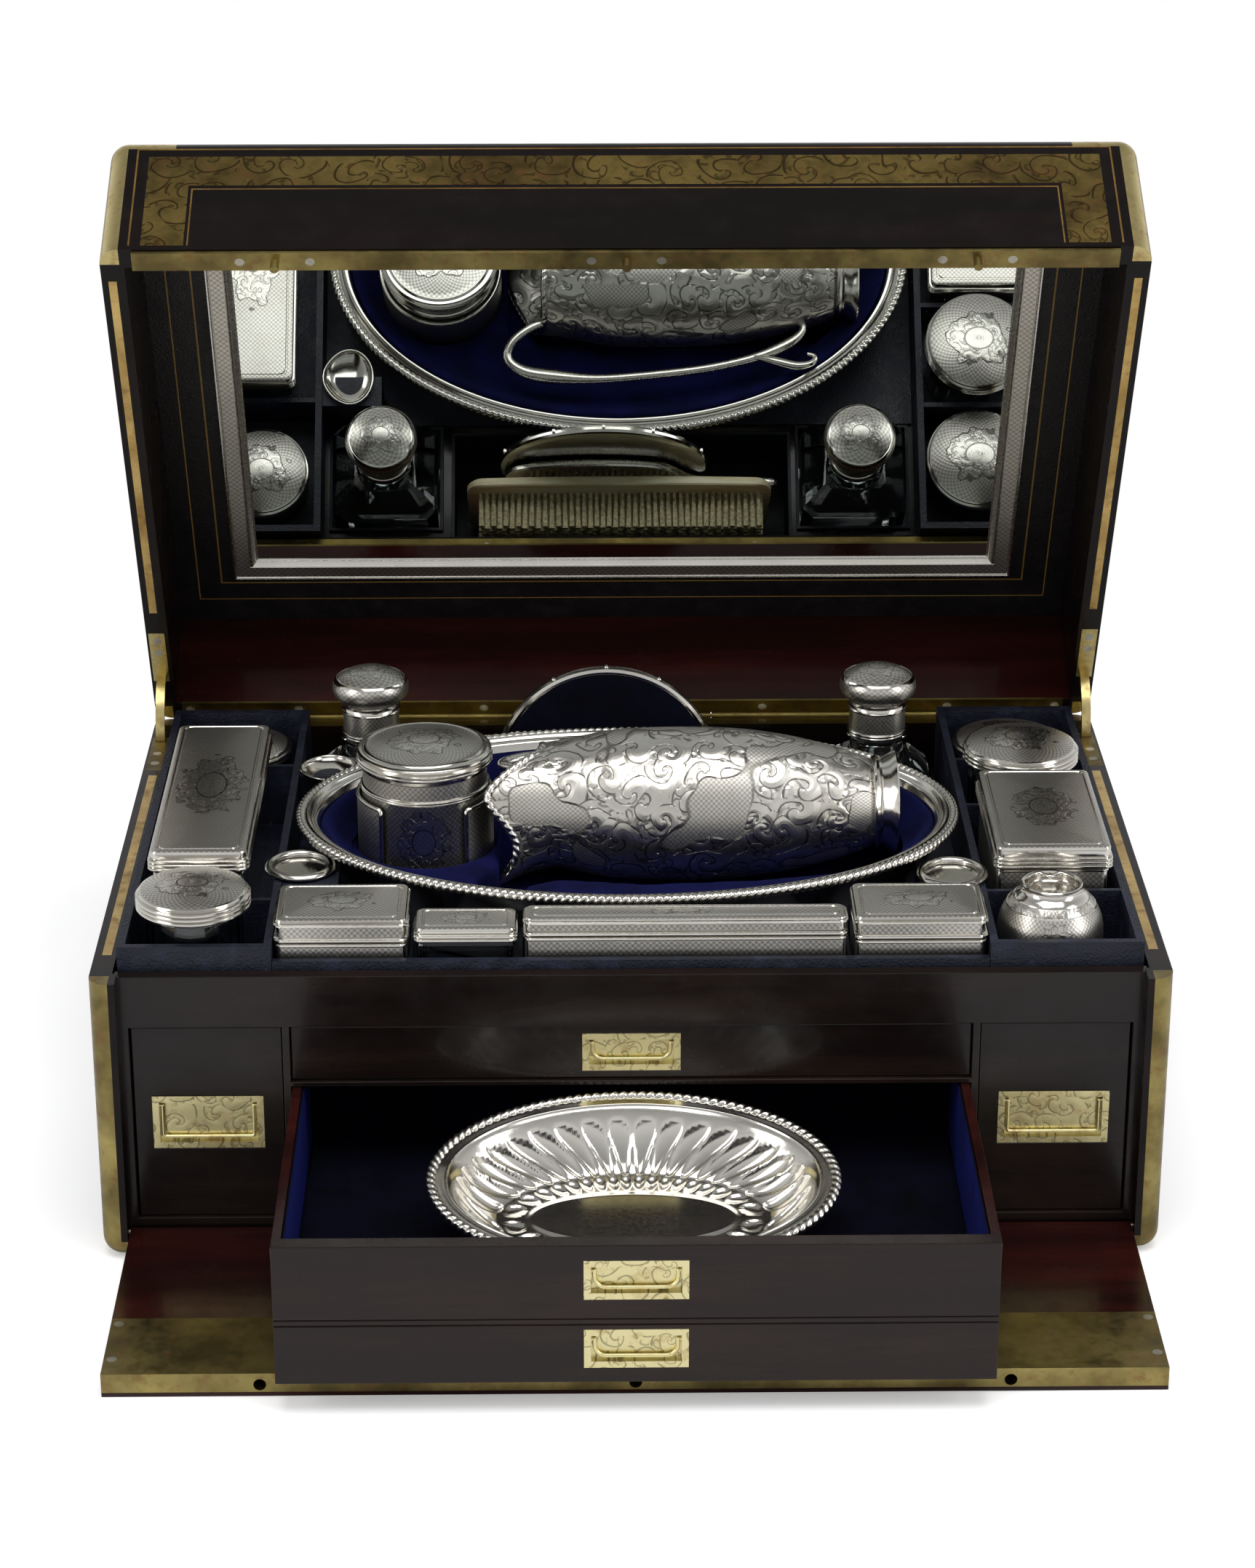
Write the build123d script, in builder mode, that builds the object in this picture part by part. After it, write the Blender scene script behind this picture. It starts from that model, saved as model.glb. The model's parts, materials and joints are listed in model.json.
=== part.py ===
from build123d import *
import math
import os

# An antique travelling dressing box: a hinged case with a drop front, four drawers,
# leather trays, and a set of glass and silver toilet pieces.
# Origin at the centre of the underside, X to the right, Y to the back, Z up. Millimetres.

# Case
box_width = 480.0
box_depth = 316.0
base_height = 138.0
lid_height = 80.0
edge_radius = 9.0
side_wall = 10.0
post_width = 12.0
front_zone = 11.5
back_wall = 12.0
floor_thickness = 11.0
rim_gap = 0.4
lid_open_angle = 64.0
binding_size = 9.0
base_arm_length = 27.0
lid_arm_length = 31.0

# Hinge
hinge_end_margin = 14.0
leaf_width = 10.0
leaf_thickness = 1.2
knuckle_radius = 2.2
knuckle_count = 5
knuckle_gap = 0.4
hinge_pin_radius = 0.8
pin_clearance = 0.08
swing_clearance = 0.4

# Screws
screw_head_radius = 2.2
screw_head_height = 1.0
screw_shank_radius = 1.0
screw_length = 6.0

# Quadrant stays
stay_inset = 5.1
stay_radius = 30.0
stay_width = 4.5
stay_thickness = 2.4
stay_clearance = 0.4
stay_plate_width = 8.0
stay_drop_angle = 74.0

# Lid
lid_wall = 11.0
lid_top = 10.0
lining_thickness = 10.0
mirror_frame_width = 400.0
mirror_frame_depth = 226.0
mirror_frame_height = 6.0
mirror_frame_border = 14.0
glass_thickness = 2.6
glass_clearance = 0.3
rail_thickness = 2.0
catch_radius = 2.0
catch_length = 6.0
catch_spacing = 160.0

# Drop front
front_thickness = 11.0
front_top_gap = 2.5
front_end_gap = 0.5
pivot_radius = 1.45
pivot_clearance = 0.05
pivot_set_back = 9.0
pivot_height = 9.0
plate_thickness = 1.2
end_cap_thickness = 9.0
end_cap_depth = 4.5

# Drawer frame and shelf
frame_thickness = 6.5
rail_top_gap = 2.0
shelf_drop = 27.0
shelf_thickness = 3.0
deck_thickness = 4.0
stile_width = 6.0
divider_thickness = 3.4
divider_inner = 152.5
dust_board = 2.3
top_drawer_height = 26.1
drawer_gap = 0.5
drawer_depth = 184.0
drawer_wall = 4.0
drawer_bottom = 3.0
drawer_front = 8.0
drawer_back_stop = 4.5
front_set_back = 2.0
back_board = 4.0
centre_drawer_out = 147.0

# Handle plates
side_plate = (50.0, 26.0, 44.0, 20.0)
small_plate = (44.0, 18.4, 38.0, 12.4)
plate_depth = 3.6
recess_depth = 2.8
bail_radius = 0.9
bail_pin_radius = 0.6
bail_pin_clearance = 0.08
bail_side_gap = 0.6

# Trays
tray_width = 68.5
tray_gap = 1.5
tray_wall = 3.5
tray_floor = 2.5
tray_height = 33.5
pocket_divider = 2.5
front_tray_height = 26.0
corner_block_height = 33.0
well_wall = 1.5

# Basin and what lies in it
basin_side_gap = 3.0
basin_front_gap = 44.5
basin_back_gap = 62.5
basin_height = 43.0
basin_flange = 9.0
basin_flange_thickness = 2.5
basin_taper = 10.0
basin_wall = 1.5
insert_height = 22.1
soft_clearance = 0.8

mug_offset = -96.0
mug_radius = 30.0
mug_height = 61.0
mug_wall = 1.5
mug_lid_radius = 32.3
mug_lid_height = 10.2
sleeve_gap = 1.2
sleeve_wall = 1.2
sleeve_height = 45.0

jug_radius = 36.0
jug_wall = 1.5

# Dish in the centre drawer
dish_tilt = 9.0
dish_half_length = 90.0
dish_half_width = 62.0
dish_rim = 1.6
dish_depth = 23.0
dish_wall = 1.5

# Clearance between loose pieces
loose_gap = 0.4
seam = 0.15

# Derived places
half_width = box_width / 2
half_depth = box_depth / 2
inner_x = half_width - side_wall
opening_x = half_width - post_width
back_y = half_depth - back_wall
frame_front = -half_depth + front_zone
hinge_y = half_depth
hinge_z = base_height + rim_gap / 2
lid_rim = rim_gap / 2
shelf_bottom = base_height - shelf_drop
shelf_top = shelf_bottom + shelf_thickness
deck_top = floor_thickness + deck_thickness
lid_lean = math.radians(lid_open_angle)
lid_plane = Plane(
    origin=(0, hinge_y, hinge_z),
    x_dir=(1, 0, 0),
    z_dir=(0, math.sin(lid_lean), math.cos(lid_lean)),
)
knuckle_half = opening_x - 2.0
knuckle_length = (2 * knuckle_half - (knuckle_count - 1) * knuckle_gap) / knuckle_count
stay_x = half_width - stay_inset
tray_outer = inner_x - tray_gap
tray_inner = tray_outer - tray_width
tray_mid = (tray_outer + tray_inner) / 2
tray_front = -half_depth + 18.5
tray_back = back_y - 0.5

os.makedirs("parts", exist_ok=True)


def save(piece, label):
    piece.part.label = label
    export_step(piece.part, "parts/" + label + ".step")


def block(x0, x1, y0, y1, z0, z1, mode=Mode.ADD):
    with Locations(((x0 + x1) / 2, (y0 + y1) / 2, (z0 + z1) / 2)):
        Box(abs(x1 - x0), abs(y1 - y0), abs(z1 - z0), mode=mode)


def peg(x, y, z0, z1, radius, mode=Mode.ADD):
    with Locations((x, y, (z0 + z1) / 2)):
        Cylinder(radius, abs(z1 - z0), mode=mode)


def axle(x0, x1, y, z, radius, mode=Mode.ADD):
    with Locations(Location(((x0 + x1) / 2, y, z), (0, 90, 0))):
        Cylinder(radius, abs(x1 - x0), mode=mode)


def rounded_block(x0, x1, y0, y1, z0, z1, radius, mode=Mode.ADD):
    with BuildSketch(Plane.XY.offset(z0)) as outline:
        with Locations(((x0 + x1) / 2, (y0 + y1) / 2)):
            RectangleRounded(abs(x1 - x0), abs(y1 - y0), radius)
    extrude(outline.sketch, amount=z1 - z0, mode=mode)


def oval_loft(plane, levels, x=0.0, y=0.0, mode=Mode.ADD):
    # levels: a list of (height, half length, half width)
    ovals = []
    for height, half_length, half_oval in levels:
        with BuildSketch(plane.offset(height)) as oval:
            with Locations((x, y)):
                Ellipse(half_length, half_oval)
        ovals.append(oval.sketch)
    loft(ovals, ruled=True, mode=mode)


def turned(x, y, profile, mode=Mode.ADD):
    # profile: a list of (radius, height), closed back to the axis at both ends
    with BuildSketch(Plane.XZ.offset(-y)) as half:
        with BuildLine():
            Polyline([(x, profile[0][1])] + [(x + r, z) for r, z in profile]
                     + [(x, profile[-1][1])], close=True)
        make_face()
    revolve(half.sketch, axis=Axis((x, y, 0), (0, 0, 1)), mode=mode)


def screw(x, y, face, direction=-1, mode=Mode.ADD):
    neck = face + direction * screw_head_height
    tip = face + direction * screw_length
    peg(x, y, face, neck, screw_head_radius, mode)
    peg(x, y, neck, tip, screw_shank_radius, mode)


def sector(plane, inner, outer, start, sweep_angle, width, mode=Mode.ADD):
    with BuildSketch(plane) as ring_part:
        with BuildLine():
            outside = CenterArc((0, 0), outer, start, sweep_angle)
            inside = CenterArc((0, 0), inner, start, sweep_angle)
            Line(outside @ 0, inside @ 0)
            Line(outside @ 1, inside @ 1)
        make_face()
    extrude(ring_part.sketch, amount=width / 2, both=True, mode=mode)


def base_arc_plane(x):
    return Plane(origin=(x, hinge_y, hinge_z), x_dir=(0, 1, 0), z_dir=(1, 0, 0))


def lid_arc_plane(x):
    return Plane(
        origin=lid_plane.from_local_coords((x, 0, 0)),
        x_dir=lid_plane.y_dir,
        z_dir=lid_plane.x_dir,
    )


def both_sides(x0, x1, y0, y1, z0, z1, mode=Mode.ADD):
    block(x0, x1, y0, y1, z0, z1, mode)
    block(-x1, -x0, y0, y1, z0, z1, mode)


# Screw places shared by the screws and the holes they sit in
hinge_screw_x = (-knuckle_half + 4.0, -166.5, -71.5, 71.5, 166.5, knuckle_half - 4.0)
hinge_screw_y = hinge_y - 6.5
base_stay_screws = (half_depth - 60.0, half_depth - 47.4)
lid_stay_screws = (-57.3, -48.8)
rail_screw_x = [c + d for c in (-catch_spacing, 0, catch_spacing) for d in (-16.0, 16.0)]
rail_y = -box_depth + 6.0
catch_y = -box_depth + 5.5


def base_screw_set(mode=Mode.ADD):
    for x in hinge_screw_x:
        screw(x, hinge_screw_y, base_height, -1, mode)
    for side in (-1, 1):
        for y in base_stay_screws:
            screw(side * stay_x, y, base_height, -1, mode)


def lid_screw_set(mode=Mode.ADD):
    for x in hinge_screw_x:
        screw(x, hinge_screw_y - hinge_y, lid_rim, 1, mode)
    for side in (-1, 1):
        for y in lid_stay_screws:
            screw(side * stay_x, y, lid_rim, 1, mode)
    for x in rail_screw_x:
        screw(x, rail_y, lid_rim - rail_thickness, 1, mode)


def hinge_leaf_pocket(mode=Mode.SUBTRACT):
    block(-knuckle_half - seam, knuckle_half + seam, hinge_y - leaf_width - 1.0 - seam,
          hinge_y, base_height - leaf_thickness, base_height, mode)
    axle(-knuckle_half - seam, knuckle_half + seam, hinge_y, hinge_z,
         knuckle_radius + swing_clearance, mode)


def stay_slots(mode=Mode.SUBTRACT):
    for side in (-1, 1):
        sector(base_arc_plane(side * stay_x), stay_radius - stay_thickness / 2 - stay_clearance,
               stay_radius + stay_thickness / 2 + stay_clearance, 177.0,
               stay_drop_angle + 6.0, stay_width + 2 * stay_clearance, mode)


def pivot_holes(mode=Mode.SUBTRACT):
    for side in (-1, 1):
        axle(side * opening_x, side * (opening_x + 4.6), -half_depth + pivot_set_back,
             pivot_height, pivot_radius + pivot_clearance, mode)


# Corner regions cut out of the case and filled by the brass bindings
column_x = half_width - binding_size
column_y = half_depth - binding_size


def base_corner_regions(mode):
    for side in (-1, 1):
        for y in (-half_depth, column_y):
            block(side * column_x, side * half_width, y, y + binding_size,
                  0, base_height, mode)
        for end in (-1, 1):
            block(side * column_x, side * half_width, end * column_y,
                  end * (half_depth - base_arm_length), 0, binding_size, mode)
        block(side * (half_width - base_arm_length), side * column_x, column_y,
              half_depth, 0, binding_size, mode)
        block(side * opening_x, side * column_x, -half_depth, -column_y,
              0, binding_size, mode)


def base_envelope(mode=Mode.ADD):
    block(-half_width, half_width, -half_depth, half_depth, 0, base_height, mode)


# Case carcase: floor, side walls, back wall and front posts
with BuildPart() as carcase:
    base_envelope()
    standing = carcase.edges().filter_by(Axis.Z)
    bottom = carcase.faces().sort_by(Axis.Z)[0].edges()
    fillet(standing + bottom, edge_radius)
    block(-inner_x, inner_x, frame_front, back_y, floor_thickness, base_height, Mode.SUBTRACT)
    block(-opening_x, opening_x, -half_depth, frame_front, 0, base_height, Mode.SUBTRACT)
    base_corner_regions(Mode.SUBTRACT)
    hinge_leaf_pocket()
    stay_slots()
    for hand in (-1, 1):
        block(hand * (stay_x - stay_plate_width / 2), hand * (stay_x + stay_plate_width / 2),
              half_depth - 69.4, half_depth - 26.0, base_height - leaf_thickness, base_height,
              Mode.SUBTRACT)
    base_screw_set(Mode.SUBTRACT)
    pivot_holes()
save(carcase, "carcase")

# Brass corner bindings of the base
with BuildPart() as base_corner_mask:
    base_corner_regions(Mode.ADD)

with BuildPart() as base_corner_bindings:
    base_envelope()
    standing = base_corner_bindings.edges().filter_by(Axis.Z)
    bottom = base_corner_bindings.faces().sort_by(Axis.Z)[0].edges()
    fillet(standing + bottom, edge_radius)
    add(base_corner_mask.part, mode=Mode.INTERSECT)
    stay_slots()
    pivot_holes()
save(base_corner_bindings, "base_corner_bindings")

# Base hinge leaf with its pin
with BuildPart() as hinge_base_leaf:
    block(-knuckle_half, knuckle_half, hinge_y - leaf_width - 1.0, hinge_y - 1.0,
          base_height - leaf_thickness, base_height)
    for index in range(knuckle_count):
        start = -knuckle_half + index * (knuckle_length + knuckle_gap)
        if index % 2 == 0:
            axle(start, start + knuckle_length, hinge_y, hinge_z, knuckle_radius)
        else:
            axle(start - knuckle_gap, start + knuckle_length + knuckle_gap, hinge_y, hinge_z,
                 knuckle_radius + swing_clearance, Mode.SUBTRACT)
    axle(-knuckle_half, knuckle_half, hinge_y, hinge_z, hinge_pin_radius)
    for place in hinge_screw_x:
        screw(place, hinge_screw_y, base_height, -1, Mode.SUBTRACT)
save(hinge_base_leaf, "hinge_base_leaf")

# Brass plates round the mouths of the stay slots
with BuildPart() as stay_sockets:
    for hand in (-1, 1):
        block(hand * (stay_x - stay_plate_width / 2), hand * (stay_x + stay_plate_width / 2),
              half_depth - 69.4, half_depth - 26.0, base_height - leaf_thickness, base_height)
    stay_slots()
    base_screw_set(Mode.SUBTRACT)
save(stay_sockets, "stay_sockets")

with BuildPart() as base_screws:
    base_screw_set()
save(base_screws, "base_screws")

# Drawer frame: deck, dividers, dust board, shelf, front rail, stiles and back board
frame_back = frame_front + frame_thickness
drawer_face = frame_front + front_set_back
well_back = back_y - well_wall - 0.3
bottle_x = tray_inner - 33.5
bottle_y = half_depth - 53.0
bottle_half_x = 28.0
bottle_half_y = 27.0
bottle_ease = 1.2
brush_well = (-89.5, 91.5, half_depth - 77.5, well_back)
bottle_well_depth = 54.0
brush_well_depth = 44.0
back_board_y = drawer_face + drawer_depth + drawer_back_stop


def well_opening(x0, x1, y0, y1, z0, z1, ease, mode):
    block(x0 - ease, x1 + ease, y0 - ease, y1 + ease, z0, z1, mode)


def bottle_well_sides(side):
    low = side * bottle_x - bottle_half_x - bottle_ease
    high = side * bottle_x + bottle_half_x + bottle_ease
    return (low, high, bottle_y - bottle_half_y - bottle_ease,
            bottle_y + bottle_half_y + bottle_ease)


divider_top = shelf_bottom
dust_board_z = shelf_bottom - drawer_gap * 2 + 0.2 - top_drawer_height - dust_board - drawer_gap
with BuildPart() as drawer_frame:
    block(-inner_x, inner_x, frame_front, frame_back, shelf_bottom, base_height - rail_top_gap)
    both_sides(inner_x - stile_width, inner_x, frame_front, frame_back,
               floor_thickness, shelf_bottom)
    block(-inner_x, inner_x, frame_front, back_board_y, floor_thickness, deck_top)
    both_sides(divider_inner, divider_inner + divider_thickness, frame_front, back_board_y,
               deck_top, shelf_bottom)
    block(-divider_inner, divider_inner, frame_front, back_board_y,
          dust_board_z, dust_board_z + dust_board)
    block(-inner_x, inner_x, back_board_y, back_board_y + back_board,
          floor_thickness, shelf_bottom)
    block(-inner_x, inner_x, frame_back, back_y, shelf_bottom, shelf_top)
    well_opening(*brush_well, shelf_bottom, shelf_top, well_wall, Mode.SUBTRACT)
    for hand in (-1, 1):
        well_opening(*bottle_well_sides(hand), shelf_bottom, shelf_top, well_wall, Mode.SUBTRACT)
save(drawer_frame, "drawer_frame")

# Wells behind the drawers for the bottles, the brushes and the hand mirror
with BuildPart() as back_wells:
    wells = [(brush_well, brush_well_depth)]
    wells += [(bottle_well_sides(hand), bottle_well_depth) for hand in (-1, 1)]
    for (x0, x1, y0, y1), depth in wells:
        well_opening(x0, x1, y0, y1, shelf_top - depth, shelf_top + tray_floor, well_wall,
                     Mode.ADD)
        block(x0, x1, y0, y1, shelf_top - depth + well_wall, shelf_top + tray_floor,
              Mode.SUBTRACT)
save(back_wells, "back_wells")

# Leather side trays, with one pocket for each jar
left_pockets = [(18.5 + tray_wall, 68.5), (71.0, 228.0), (230.5, 300.0)]
right_pockets = [(18.5 + tray_wall, 74.0), (76.5, 174.5), (177.0, 232.0), (234.5, 300.0)]


def side_tray(side, pockets):
    block(side * tray_inner, side * tray_outer, tray_front, tray_back,
          shelf_top, shelf_top + tray_height)
    for number, (near, far) in enumerate(pockets):
        last = number == len(pockets) - 1
        pocket_end = tray_back - tray_wall if last else -half_depth + far
        block(side * (tray_inner + tray_wall), side * (tray_outer - tray_wall),
              -half_depth + near, pocket_end, shelf_top + tray_floor,
              shelf_top + tray_height, Mode.SUBTRACT)


with BuildPart() as left_tray:
    side_tray(-1, left_pockets)
save(left_tray, "left_tray")

with BuildPart() as right_tray:
    side_tray(1, right_pockets)
save(right_tray, "right_tray")

# Basin: an oval bowl with a flat flange
basin_a = tray_inner - basin_side_gap
basin_front = -half_depth + basin_front_gap
basin_back = half_depth - basin_back_gap
basin_b = (basin_back - basin_front) / 2
basin_y = (basin_back + basin_front) / 2
basin_rim = shelf_top + basin_height
flange_bottom = basin_rim - basin_flange_thickness


def basin_half(z, inset=0.0):
    # half length and half width of the bowl's outside at height z, less an inset
    share = (z - shelf_top) / (flange_bottom - shelf_top)
    shrink = basin_flange + basin_taper * (1 - share) + inset
    return (z, basin_a - shrink, basin_b - shrink)


with BuildPart() as basin:
    oval_loft(Plane.XY, [basin_half(shelf_top), basin_half(flange_bottom)], 0, basin_y)
    oval_loft(Plane.XY, [(flange_bottom, basin_a, basin_b), (basin_rim, basin_a, basin_b)],
              0, basin_y)
    cut_levels = [basin_half(shelf_top + basin_wall, basin_wall),
                  basin_half(basin_rim, basin_wall)]
    oval_loft(Plane.XY, cut_levels, 0, basin_y, Mode.SUBTRACT)
save(basin, "basin")

# Front tray with its corner blocks, open round the basin
with BuildPart() as front_tray:
    tray_side = tray_inner - 0.3
    block(-tray_side, tray_side, tray_front, bottle_y - bottle_half_y - 3.5,
          shelf_top, shelf_top + tray_floor)
    block(-tray_side, tray_side, tray_front, tray_front + tray_wall,
          shelf_top, shelf_top + front_tray_height)
    both_sides(tray_side - 60.0, tray_side, tray_front + 49.0, tray_front + 51.5,
               shelf_top, shelf_top + tray_height - 3.5)
    both_sides(tray_side - 25.7, tray_side, tray_front + 51.5, tray_front + 93.5,
               shelf_top, shelf_top + corner_block_height)
    block(-tray_side, -tray_side + 31.7, bottle_y - bottle_half_y - 20.0,
          bottle_y - bottle_half_y - 3.5, shelf_top, shelf_top + corner_block_height)
    for place in (-tray_side + 61.1, -tray_side + 110.2, tray_side - 61.7):
        block(place - 0.8, place + 0.8, tray_front, tray_front + 49.0,
              shelf_top, shelf_top + front_tray_height - 4.0)
    hollow = [basin_half(shelf_top, -1.0), basin_half(flange_bottom, -1.0)]
    oval_loft(Plane.XY, hollow, 0, basin_y, Mode.SUBTRACT)
    both_sides(bottle_x - bottle_half_x - 3.0, bottle_x + bottle_half_x + 3.0,
               bottle_y - bottle_half_y - 3.2, back_y, shelf_top, shelf_top + 40, Mode.SUBTRACT)
save(front_tray, "front_tray")

# Velvet insert in the basin, with a seat for the mug and one for the jug
insert_bottom = shelf_top + basin_wall + loose_gap
insert_top = insert_bottom + insert_height
mug_x = mug_offset
mug_y = basin_y + 11.0
mug_floor = insert_bottom + 1.7
mug_bottom = mug_floor + loose_gap
sleeve_inner = mug_radius + sleeve_gap
sleeve_outer = sleeve_inner + sleeve_wall
jug_y = basin_y + 14.0
jug_axis = mug_bottom + jug_radius + 0.2
jug_mouth = mug_x + 36.0
jug_bed = mug_floor + 0.3
spout_hollow = [(-1.0, 0), (-1.0, -35), (-11, -49), (-10, -57), (-4, -63), (10, -65), (13, -57),
                (27, -50), (68, -56), (120, -52), (160, -44), (194, -32), (196, 0)]
with BuildPart() as velvet_insert:
    insert_levels = [basin_half(insert_bottom, basin_wall + soft_clearance),
                     basin_half(insert_top, basin_wall + soft_clearance)]
    oval_loft(Plane.XY, insert_levels, 0, basin_y)
    peg(mug_x, mug_y, mug_floor, insert_top + 1, sleeve_outer + soft_clearance, Mode.SUBTRACT)
    axle(jug_mouth - 1.0, jug_mouth + 196.0, jug_y, jug_axis, jug_radius + 0.7, Mode.SUBTRACT)
    with BuildSketch(Plane.XY.offset(jug_bed)) as jug_hollow:
        with BuildLine():
            Polyline([(jug_mouth + x, jug_y + y) for x, y in spout_hollow], close=True)
        make_face()
    extrude(jug_hollow.sketch, amount=insert_height, mode=Mode.SUBTRACT)
save(velvet_insert, "velvet_insert")

# Cut-away sleeve round the mug, open to the front
with BuildPart() as mug_sleeve:
    peg(mug_x, mug_y, mug_bottom, mug_bottom + sleeve_height, sleeve_outer)
    peg(mug_x, mug_y, mug_bottom, mug_bottom + sleeve_height, sleeve_inner, Mode.SUBTRACT)
    block(mug_x - 20, mug_x + 20, mug_y - sleeve_outer - 1, mug_y - 15,
          mug_bottom + 12.0, mug_bottom + sleeve_height, Mode.SUBTRACT)
save(mug_sleeve, "mug_sleeve")

mug_rim = mug_bottom + mug_height
with BuildPart() as mug:
    peg(mug_x, mug_y, mug_bottom, mug_rim, mug_radius)
    peg(mug_x, mug_y, mug_bottom + mug_wall, mug_rim, mug_radius - mug_wall, Mode.SUBTRACT)
save(mug, "mug")

with BuildPart() as mug_lid:
    lid_low = mug_rim + loose_gap
    turned(mug_x, mug_y, [
        (mug_radius - mug_wall - 0.6, mug_rim - 3.0),
        (mug_radius - mug_wall - 0.6, lid_low),
        (mug_lid_radius, lid_low),
        (mug_lid_radius, lid_low + 4.0),
        (mug_lid_radius - 2.5, lid_low + 8.0),
        (mug_lid_radius - 10.0, lid_low + mug_lid_height),
    ])
save(mug_lid, "mug_lid")

# Helmet jug lying on its side: foot to the right, lip to the left, handle at the back
jug_foot = jug_mouth + 187.5
foot_radius = jug_radius - 11.5
jug_profile = [(jug_mouth, jug_radius - 9.0), (jug_mouth + 10.0, jug_radius - 7.5),
               (jug_mouth + 27.0, jug_radius - 5.5), (jug_mouth + 54.0, jug_radius - 0.8),
               (jug_mouth + 88.0, jug_radius), (jug_mouth + 114.0, jug_radius - 1.6),
               (jug_mouth + 138.0, jug_radius - 4.2), (jug_mouth + 166.0, jug_radius - 11.0),
               (jug_mouth + 176.5, jug_radius - 15.2), (jug_mouth + 178.5, jug_radius - 13.8),
               (jug_mouth + 181.0, jug_radius - 15.2), (jug_mouth + 183.0, foot_radius),
               (jug_foot, foot_radius)]
jug_inside = [(x, r - jug_wall) for x, r in jug_profile[:8]]
jug_inside[0] = (jug_mouth - 1.0, jug_profile[0][1] - jug_wall)
jug_inside.append((jug_mouth + 171.0, jug_radius - 24.0))


def turned_along(profile, y, z, mode=Mode.ADD):
    with BuildSketch(Plane.XY.offset(z)) as half:
        with BuildLine():
            Polyline([(profile[0][0], y)] + [(x, y + r) for x, r in profile]
                     + [(profile[-1][0], y)], close=True)
        make_face()
    revolve(half.sketch, axis=Axis((0, y, z), (1, 0, 0)), mode=mode)


with BuildPart() as jug:
    turned_along(jug_profile, jug_y, jug_axis)
    handle_points = [(jug_mouth + 28.0, jug_y + jug_radius - 9.0),
                     (jug_mouth + 2.0, jug_y + jug_radius + 10.0),
                     (jug_mouth + 14.0, jug_y + jug_radius + 24.0),
                     (jug_mouth + 80.0, jug_y + jug_radius + 20.0),
                     (jug_mouth + 130.0, jug_y + jug_radius + 12.0),
                     (jug_mouth + 158.0, jug_y + jug_radius + 3.0),
                     (jug_mouth + 152.0, jug_y + jug_radius - 8.5)]
    with BuildLine() as handle_path:
        FilletPolyline(*[(x, y, jug_axis) for x, y in handle_points], radius=9.0)
    with BuildSketch(Plane(origin=handle_path.line @ 0, z_dir=handle_path.line % 0)) as grip:
        Circle(3.2)
    sweep(grip.sketch, path=handle_path.line)
    turned_along(jug_inside, jug_y, jug_axis, Mode.SUBTRACT)
    with BuildSketch(Plane.XZ.offset(-jug_y - jug_radius)) as mouth_cut:
        with Locations((jug_mouth - 6.0, jug_axis)):
            Circle(16.0)
    extrude(mouth_cut.sketch, amount=2 * jug_radius, mode=Mode.SUBTRACT)
save(jug, "jug")

# Hand mirror, standing on edge behind the basin
mirror_hand_x = -9.0
mirror_hand_y = half_depth - 58.5
mirror_hand_radius = 56.0
mirror_hand_z = shelf_top - brush_well_depth + well_wall + 3.4 + mirror_hand_radius
with BuildPart() as hand_mirror:
    with Locations(Location((mirror_hand_x, mirror_hand_y + 2.75, mirror_hand_z), (90, 0, 0))):
        Cylinder(mirror_hand_radius, 5.5)
    block(mirror_hand_x + 53.0, mirror_hand_x + 71.0, mirror_hand_y + 1.0,
          mirror_hand_y + 4.5, mirror_hand_z + 2.0, mirror_hand_z + 16.0)
save(hand_mirror, "hand_mirror")

# Hair brush and clothes brush, standing on edge
brush_low = shelf_top - brush_well_depth + well_wall + loose_gap
hair_y = mirror_hand_y + 6.5
with BuildPart() as hair_brush:
    block(-63, 45, hair_y, hair_y + 2.5, brush_low, shelf_top + 36.0)
    block(45, 90, hair_y, hair_y + 3.5, shelf_top + 8.0, shelf_top + 24.0)
    block(-58, 40, hair_y + 2.5 + seam, hair_y + 7.2, brush_low + 4.0, shelf_top + 31.0)
save(hair_brush, "hair_brush")

clothes_y = hair_y + 8.0
with BuildPart() as clothes_brush:
    block(-81, 82, clothes_y, clothes_y + 5.6, brush_low, shelf_top + 32.0)
    block(-78, 79, clothes_y + 5.6 + seam, well_back - 4.0, brush_low + 4.0, shelf_top + 28.0)
save(clothes_brush, "clothes_brush")

# Scent bottles: square shouldered glass and a mushroom silver cap
bottle_low = shelf_top - bottle_well_depth + well_wall + loose_gap


def bottle_solids(side):
    x = side * bottle_x
    rounded_block(x - bottle_half_x, x + bottle_half_x, bottle_y - bottle_half_y,
                  bottle_y + bottle_half_y, bottle_low, shelf_top + 15.0, 5.0)
    turned(x, bottle_y, [(26.0, shelf_top + 15.0), (15.0, shelf_top + 24.0),
                         (15.0, shelf_top + 36.0)])
    cap = shelf_top + 36.0 + seam
    turned(x, bottle_y, [(15.5, cap), (15.5, cap + 8.0), (14.0, cap + 14.0), (18.5, cap + 22.0),
                         (19.0, cap + 27.0), (17.0, cap + 32.0), (8.0, cap + 35.8)])


with BuildPart() as left_bottle:
    bottle_solids(-1)
save(left_bottle, "left_bottle")

with BuildPart() as right_bottle:
    bottle_solids(1)
save(right_bottle, "right_bottle")

jar_low = shelf_top + tray_floor + loose_gap


def round_jar(x, y, glass_radius, lid_radius, lid_low, top):
    peg(x, y, jar_low, shelf_top + lid_low, glass_radius)
    base = shelf_top + lid_low + seam
    high = shelf_top + top
    turned(x, y, [(lid_radius, base), (lid_radius, high - 4.0), (lid_radius - 2.0, high - 1.5),
                  (lid_radius - 8.0, high)])


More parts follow.
